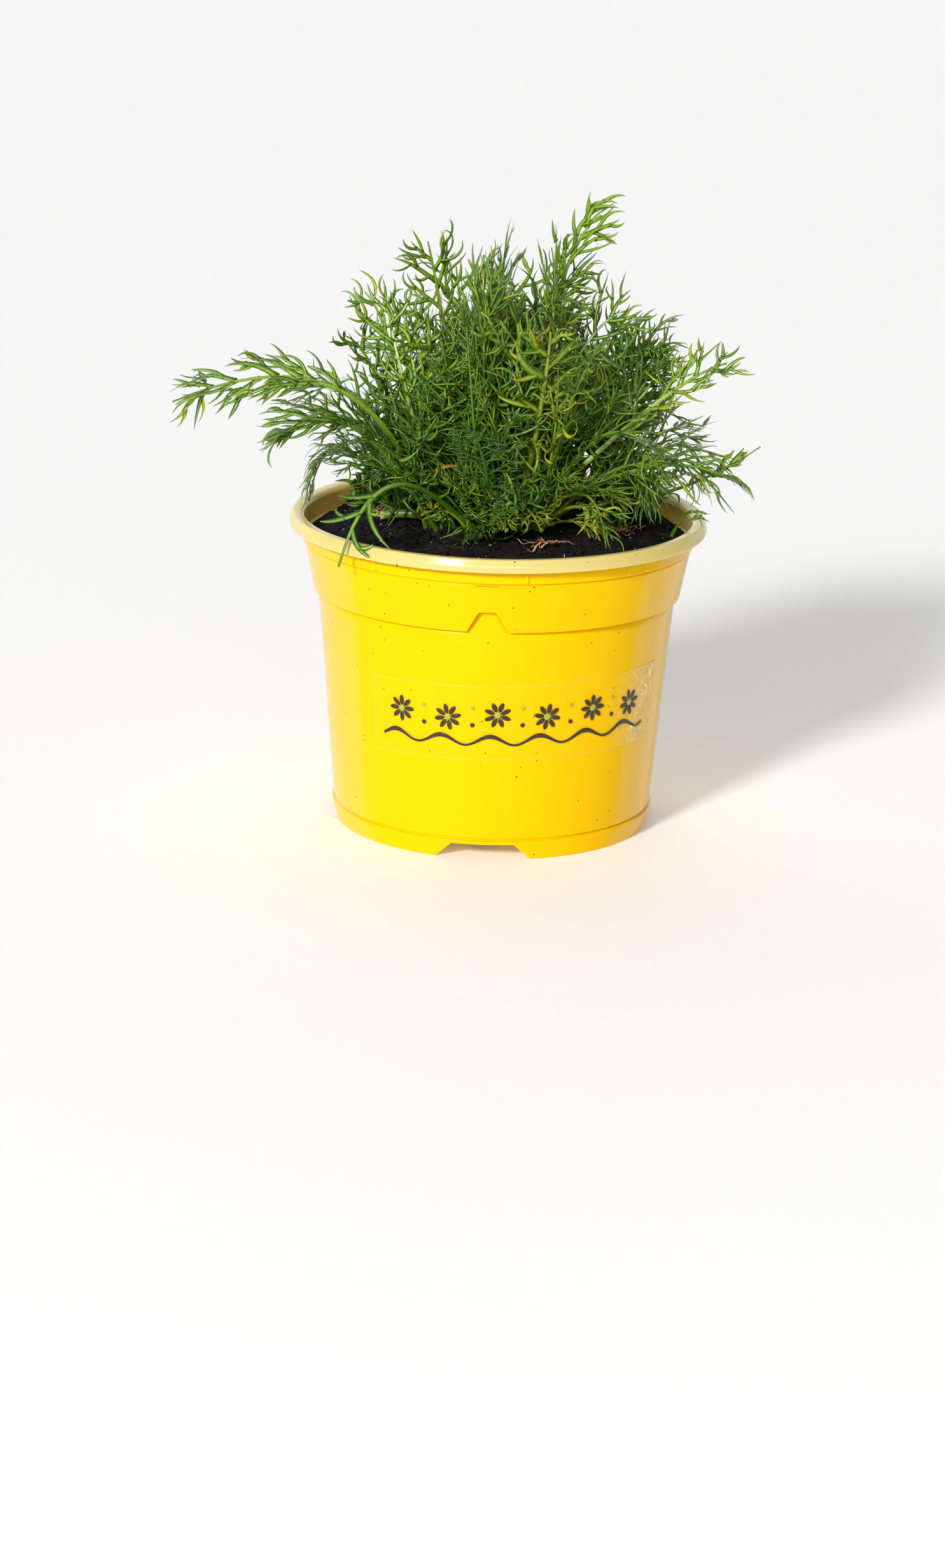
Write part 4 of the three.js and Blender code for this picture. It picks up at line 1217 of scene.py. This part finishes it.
def leaf_bases(centre, leaves):
    """Leaf bases evenly round a crown, turned so that they face their leaves' headings best."""
    centre = np.array(centre, float)
    step = FULL_TURN / len(leaves)
    headings = [math.atan2(leaf[0][1] - centre[1], leaf[0][0] - centre[0]) for leaf in leaves]
    offsets = np.array(headings) - step * np.arange(len(leaves))
    angle = math.atan2(np.sin(offsets).sum(), np.cos(offsets).sum()) + step * np.arange(len(leaves))
    reach = CROWN_RADIUS + GAP + PETIOLE_RADIUS
    x, y = centre[0] + reach * np.cos(angle), centre[1] + reach * np.sin(angle)
    height = soil_top(*centre) + LEAF_BASE_LIFT
    return np.stack([x, y, np.full(len(leaves), height)], -1)


def foliage_group():
    """Leaf green by tone, from deep blue-green to yellow-green: paler in the groove on top, a painted
    highlight, darker and bluer at the edges, painted shade, greyer underneath, and browned at the very tip."""
    outputs = {"Color": "Color", "Height": "Float", "Roughness": "Float"}
    tree, given, out = socketed_group("foliage", {"Tone": 0.5, "Face": 0.5, "Along": 0.5}, outputs)
    place = own_place(tree)
    mottle = noise(tree, place, 260.0, 3.0)
    fine = noise(tree, place, 2400.0, 2.0)
    shift = times(tree, less(tree, mottle, 0.5), 0.35)
    ramp = node(tree, "ValToRGB", Fac=math_node(tree, "ADD", given["Tone"], shift, clamp=True))
    stops = ((0.0, (16, 68, 24)), (0.3, (44, 106, 18)), (0.6, (104, 148, 18)), (1.0, (184, 190, 28)))
    elements = ramp.color_ramp.elements
    while len(elements) < len(stops):
        elements.new(0.5)
    for element, (position, shade) in zip(elements, stops):
        element.position = position
        element.color = colour(*shade)
    face = given["Face"]
    edge = less(tree, 1.0, math_node(tree, "ABSOLUTE", less(tree, times(tree, face, 2.0), 1.0)))
    groove = math_node(tree, "SUBTRACT", 1.0, times(tree, face, 2.5), clamp=True)
    under = ranged(tree, face, 0.6, 1.0)
    tip = ranged(tree, given["Along"], 0.86, 1.0)
    shade = ramp.outputs["Color"]
    # Pale groove: painted highlight. Dark edges: painted shade. Greyer underside and brown tip: the leaf's
    # own colours
    layers = (
        (groove, 0.5, (174, 200, 68)), (edge, 0.45, (20, 66, 12)), (under, 0.35, (124, 148, 58)),
        (tip, 0.4, (92, 84, 44)))
    for mask, strength, over in layers:
        shade = blended(tree, times(tree, mask, strength), shade, colour(*over))
    rough = math_node(tree, "ADD", times(tree, fine, 0.2), 0.25)
    feed(tree, out, Color=shade, Height=fine, Roughness=rough)
    return tree


def leaf_material(foliage, name, pale_end=False):
    """Waxy leaf, its colour from the foliage group and its points' attributes, or pale at the end
    where it is cut."""
    material, tree, shader = new_material(
        name, Specular_IOR_Level=0.7, Subsurface_Weight=0.12, Subsurface_Radius=(0.4, 0.8, 0.15),
        Subsurface_Scale=0.0015)
    along = read(tree, "along")
    green = grouped(tree, foliage, Tone=read(tree, "tone"), Face=read(tree, "face"), Along=along)
    shade = green["Color"]
    if pale_end:
        shade = blended(tree, ranged(tree, along, 0.9, 0.97), shade, colour(214, 212, 150))
    dress(tree, shader, shade, green["Height"], 0.3, 0.0001, Roughness=green["Roughness"])
    return material


def make_leaves(foliage):
    """The large leaves, each a piece of its own along the midrib of the frame's node."""
    material = leaf_material(foliage, "leaf_blade")
    for number, (crown, (centre, leaves)) in enumerate(CROWNS.items()):
        bases = leaf_bases(centre, leaves)
        for index, (via, tip, leaflet, roll, kind, tone) in enumerate(leaves):
            rng = np.random.default_rng(1000 + 50 * number + index)
            half = KINDS[kind].half[0]
            rib = midrib(bases[index], np.array(via, float), np.array(tip, float), roll, half)
            points, quads, values = leaf_mesh(rib, kind, leaflet, tone, rng)
            name = f"leaf_{crown}_{index + 1}"
            add_piece(f"{name}_fine", points, quads, [material], "leaf_green", [name], values=values)


def to_dome(base, way):
    """How far it is from base to the dome along a way: the larger root of a quadratic."""
    p, w = (base - DOME_MIDDLE) / DOME_REACH, way / DOME_REACH
    a, b, c = w @ w, p @ w, p @ p - 1
    return (-b + math.sqrt(b * b - a * c)) / a


def inner_leaf(centre, turn, rng):
    """A leaf that rises from a crown at its own slope and ends inside the dome."""
    rise = math.radians(rng.uniform(*INNER_SLOPES))
    x, y = math.cos(turn), math.sin(turn)
    way = np.array([x * math.cos(rise), y * math.cos(rise), math.sin(rise)])
    foot = (centre[0] + INNER_FOOT_REACH * x, centre[1] + INNER_FOOT_REACH * y)
    base = np.array([*foot, soil_top(*centre) + 1])
    share = rng.uniform(*INNER_LENGTHS) + INNER_STEEP_LENGTH * math.sin(rise) ** 2
    length = to_dome(base, way) * share
    tip = base + way * length
    via = (base + tip) / 2 + UP * (length * rng.uniform(*INNER_ARCH))
    via = via + rng.normal(0, INNER_WANDER, 3) * length
    kind = rng.choice(INNER_KINDS)
    rib = midrib(base, via, tip, rng.uniform(-90, 90), KINDS[kind].half[0] * INNER_STALK)
    tone = INNER_TONE + INNER_HEIGHT_TONE * (tip[2] - base[2]) / DOME_REACH[2]
    tone = tone + rng.normal(0, INNER_TONE_NOISE)
    return leaf_mesh(rib, kind, rng.uniform(*INNER_LEAFLETS), tone, rng, INNER_STALK_TONE)


def make_inner_leaves(foliage):
    """Each crown's inner leaves, all round it, and its leaves that are listed one by one."""
    material = leaf_material(foliage, "crown_blade")
    for number, (crown, (centre, _)) in enumerate(CROWNS.items()):
        rng = np.random.default_rng(3000 + number)
        made = []
        count = FRONT_INNER_LEAVES if crown == "front" else INNER_LEAVES
        for index in range(count):
            turn = FULL_TURN * (index + rng.uniform(0, 1)) / count
            made.append(inner_leaf(centre, turn, rng))
        for foot, via, tip, leaflet, roll, kind, tone in LOW_LEAVES.get(crown, []):
            rib = midrib(*np.array([foot, via, tip], float), roll, KINDS[kind].half[0] * PLACED_STALK)
            made.append(leaf_mesh(rib, kind, leaflet, tone, rng))
        points, quads, values = gathered(made)
        name = f"crown_{crown}"
        add_piece(f"{name}_leaves", points, quads, [material], "crown_green", [name], values=values)


# Small things on and over the compost

def lump_width(s):
    """Half width of a lump along itself as a share: a flattened circle's, never quite closed."""
    return 0.3 + 0.7 * np.sqrt(np.clip(1 - (2 * s - 1) ** 2, 0, 1))


def thin_width(s):
    """Half width of a fibre as a share: even, with short tapered ends."""
    return 0.25 + 0.75 * smooth(s, 0, 0.15) * (1 - smooth(s, 0.8, 1))


def cut_width(s):
    """Half width of the cut stalk as a share: a slow taper."""
    return 1.05 - 0.12 * s


def on_soil(strands, lift):
    """The same strands laid over the compost's lumps at a lift, and their directions again."""
    line = strands["line"].copy()
    line[..., 2] = soil_height(line[..., 0], line[..., 1]) + lift
    level = np.cross(UP, unit(np.gradient(line, axis=1)))
    return framed(line, level, strands["half"])


def strewn(rng, count, reach):
    """Level frames at random places on the compost, at random headings."""
    radius = reach * np.sqrt(rng.random(count))
    turn, heading = rng.uniform(0, FULL_TURN, (2, count))
    zero = 0 * radius
    point = polar(radius, turn, zero)
    along = np.stack([np.cos(heading), np.sin(heading), zero], -1)
    side = np.stack([-np.sin(heading), np.cos(heading), zero], -1)
    return point, along, side, np.broadcast_to(UP, point.shape)


def bits(rng, count, reach, length, half, bend, steps):
    """Strands strewn over the compost: random lengths, widths and level bends in given ranges."""
    turn = [rng.normal(0, bend, count) for _ in range(3)]
    flat = [np.zeros(count)] * 3
    bases = strewn(rng, count, reach)
    length, half = rng.uniform(*length, count), rng.uniform(*half, count)
    return on_soil(grown(bases, turn, flat, flat, length, half, steps), BIT_LIFT)


def mottled_material(name, shades, scale, rough):
    """A dull material that wanders between three shades in fine mottles."""
    material, tree, shader = new_material(name, Specular_IOR_Level=0.25, Roughness=rough)
    first, second, third = (colour(*shade) for shade in shades)
    place = own_place(tree)
    fine = noise(tree, place, scale * 7, 3.0)
    shade = blended(tree, ranged(tree, noise(tree, place, scale, 3.0), 0.35, 0.65), first, second)
    shade = blended(tree, ranged(tree, fine, 0.5, 0.75), shade, third)
    dress(tree, shader, shade, fine, 0.5, 0.0002)
    return material


def make_crumbs(crumble):
    """Loose crumbs of peat, brown fibres and a few white grains on the compost."""
    rng = np.random.default_rng(71)
    peat = soil_material(crumble, "crumbs", 0.6)
    brown = mottled_material("fibre_brown", ((44, 32, 24), (70, 52, 36), (110, 86, 62)), 400.0, 0.85)
    white = mottled_material("grain_white", ((226, 222, 210), (200, 194, 180), (160, 150, 136)), 900.0, 0.8)
    for name, material, width, settings in (
            ("compost_crumbs", peat, lump_width, (900, 53, (0.8, 2.6), (0.35, 1.0), 0.2, 4)),
            ("compost_fibres", brown, thin_width, (110, 52, (4, 12), (0.1, 0.2), 0.9, 9)),
            ("compost_grains", white, lump_width, (60, 52, (0.3, 0.8), (0.12, 0.26), 0.2, 4))):
        points, quads, _ = strand_mesh(bits(rng, *settings), LUMP_SECTION, width, 0)
        add_piece(name, points, quads, [material], "compost")


def make_dry_leaves():
    """Dried leaflets: a stem and curled forks, laid on the compost and partly off it."""
    dry = mottled_material("leaf_dried", ((250, 190, 146), (228, 152, 108), (255, 222, 190)), 350.0, 0.75)
    hand = np.where(np.arange(DRY_FORKS) % 2, 1.0, -1.0)
    share = np.linspace(0.25, 0.85, DRY_FORKS)
    for number, (name, (place, heading, length)) in enumerate(DRY_LEAVES.items()):
        rng = np.random.default_rng(400 + number)
        way = math.radians(heading)
        along = np.array([math.cos(way), math.sin(way), 0])
        side = np.array([-along[1], along[0], 0])
        start = np.array([*place, 0.0]) - along * length * 0.3
        root = tuple(part[None] for part in (start, along, side, UP))
        turn = [np.full(1, angle) for angle in (0.2, -0.2, 0.4)]
        flat = [np.zeros(1)] * 3
        stem = grown(root, turn, flat, flat, np.full(1, length * 1.2), np.full(1, 0.42), 9)
        turn = three(rng, (34, 30, 50), 14, DRY_FORKS, hand)
        flat = [np.zeros(DRY_FORKS)] * 3
        reach = length * rng.uniform(0.35, 0.7, DRY_FORKS)
        bases = frame_at(stem, np.zeros(DRY_FORKS, int), share)
        forks = grown(bases, turn, flat, flat, reach, np.full(DRY_FORKS, 0.32), 9)
        lifted = on_soil(joined([stem, forks]), 1.1)
        waves = 0.9 * np.sin(np.linspace(0, 5, 10)) ** 2
        lifted["line"][..., 2] += waves * rng.uniform(0.3, 1, (DRY_FORKS + 1, 1))
        points, quads, _ = strand_mesh(lifted, LOBE_SECTION, thin_width, 0)
        add_piece(f"dry_leaf_{name}_fine", points, quads, [dry], "leaf_dry", [f"dry_leaf_{name}"])


def make_yellowed():
    """Lobes that have turned orange-yellow: wide willow-leaf bands with a light twist."""
    yellow = mottled_material("leaf_yellowed", ((234, 176, 30), (216, 138, 34), (240, 208, 84)), 300.0, 0.6)
    rng = np.random.default_rng(55)
    ends = np.array(YELLOWED, float)
    way = ends[:, 1] - ends[:, 0]
    along = unit(way)
    side = unit(np.cross(UP, along))
    count = len(ends)
    turn = [rng.normal(0, 0.3, count) for _ in range(3)]
    rise = [np.full(count, value) for value in (0.35, 0.0, -0.5)]
    roll = [rng.normal(0.3, 0.4, count) for _ in range(3)]
    bases = (ends[:, 0], along, side, np.cross(along, side))
    length, half = np.linalg.norm(way, axis=-1), rng.uniform(0.9, 1.3, count)
    strands = grown(bases, turn, rise, roll, length, half, 8)
    points, quads, _ = strand_mesh(strands, LOBE_SECTION, lobe_width, 0)
    add_piece("leaf_yellowed_lobes", points, quads, [yellow], "leaf_dry")


def make_stalks(foliage):
    """The cut stalk low over the compost, a bowed line, and the small leaf that arches over the
    rim."""
    s = np.linspace(0, 1, 15)[:, None]
    start, end = CUT_STALK_ENDS
    line = start * (1 - s) + end * s + CUT_STALK_BOW * np.sin(math.pi * s)
    level = np.cross(UP, np.gradient(line, axis=0))
    stalk = framed(line[None], level[None], np.array([1.45]))
    points, quads, values = strand_mesh(stalk, ROUND_SECTION, cut_width, 0.75)
    material = leaf_material(foliage, "stalk_cut", pale_end=True)
    add_piece("cut_stalk_fine", points, quads, [material], "leaf_green", ["cut_stalk"], values=values)

    rib = midrib(*RIM_LEAF, 0, 0.6)
    points, quads, values = leaf_mesh(rib, "curled", 3.4, 0.45, np.random.default_rng(77))
    blade = [leaf_material(foliage, "rim_blade")]
    add_piece("leaf_over_rim_fine", points, quads, blade, "leaf_green", ["leaf_over_rim"], values=values)


# Floor, lights and camera

def make_stage():
    """A pale floor that sweeps up into a pale wall far behind: a profile carried along X."""
    flat = np.stack([np.linspace(-FLOOR_REACH, FLOOR_BEND, 30), np.zeros(30)], -1)
    curve = np.concatenate([flat, arc((FLOOR_BEND, FLOOR_BEND_RADIUS), FLOOR_BEND_RADIUS, -90, 0, 24)])
    x = np.linspace(-FLOOR_REACH, FLOOR_REACH, 12)
    points = np.stack([np.tile(x, len(curve)), *(np.repeat(part, len(x)) for part in curve.T)], -1)
    quads = grid_quads(len(curve), len(x))
    mesh = bpy.data.meshes.new("floor")
    mesh.from_pydata((points * MM).tolist(), [], quads.tolist())
    mesh.polygons.foreach_set("use_smooth", np.ones(len(quads), bool))
    material, _, _ = new_material("floor", Base_Color=colour(250, 250, 250), Roughness=0.7,
                                  Emission_Color=colour(255, 255, 255), Emission_Strength=0.11)
    mesh.materials.append(material)
    floor = placed("floor", mesh)


def make_world():
    """Pale studio surroundings: white behind on the left, beige behind on the right, from which
    the light comes round further, and dim on the viewer's side."""
    world = bpy.data.worlds.new("studio")
    bpy.context.scene.world = world
    world.use_nodes = True
    tree = world.node_tree
    way = node(tree, "TexCoord").outputs["Generated"]
    parts = node(tree, "SeparateXYZ", Vector=way).outputs
    depth = math_node(tree, "ADD", parts["Y"], times(tree, parts["X"], 0.25))
    back = ranged(tree, depth, 0.2, 0.4, interpolation="SMOOTHSTEP")
    right = ranged(tree, parts["X"], 0.0, 0.7, interpolation="SMOOTHSTEP")
    far = blended(tree, right, (1.1, 1.1, 1.1, 1), (0.42, 0.4, 0.33, 1))
    feed(tree, tree.nodes["Background"], Color=blended(tree, back, (0.24, 0.24, 0.25, 1), far))


def make_lights():
    """A soft-edged sun from the front left and above, and a long narrow panel over the camera."""
    sun = bpy.data.lights.new("key", "SUN")
    sun.energy = 2.8
    sun.angle = math.radians(9)
    placed("key", sun).rotation_euler = (math.radians(64), 0, math.radians(-29))
    panel = bpy.data.lights.new("fill", "AREA")
    panel.shape = "RECTANGLE"
    panel.size = 0.9
    panel.size_y = 0.05
    panel.energy = 1.9
    fill = placed("fill", panel)
    fill.location = (-0.1, -1.1, 0.5)
    fill.rotation_euler = (math.radians(69), 0, 0)


def make_camera():
    """The photograph's view: its place, turn and focal length, fitted to the pot's circles."""
    data = bpy.data.cameras.new("camera")
    data.sensor_width = 36
    data.lens = CAMERA_LENS
    data.clip_start = 0.05
    data.clip_end = 50
    camera = placed("camera", data)
    rows = zip(CAMERA_RIGHT, CAMERA_UP, CAMERA_BACK, CAMERA_PLACE)
    camera.matrix_world = Matrix([*rows, (0, 0, 0, 1)])
    bpy.context.scene.camera = camera


specks = specks_group()
moulding = moulding_group()
crumble = crumble_group()
foliage = foliage_group()
make_neck_ribs(make_pot(specks, moulding))
make_label()
make_print()
make_soil(crumble)
make_crumbs(crumble)
make_dry_leaves()
make_yellowed()
make_stalks(foliage)
make_leaves(foliage)
make_inner_leaves(foliage)
make_stage()
make_world()
make_lights()
make_camera()
bpy.context.scene.view_settings.view_transform = "Standard"
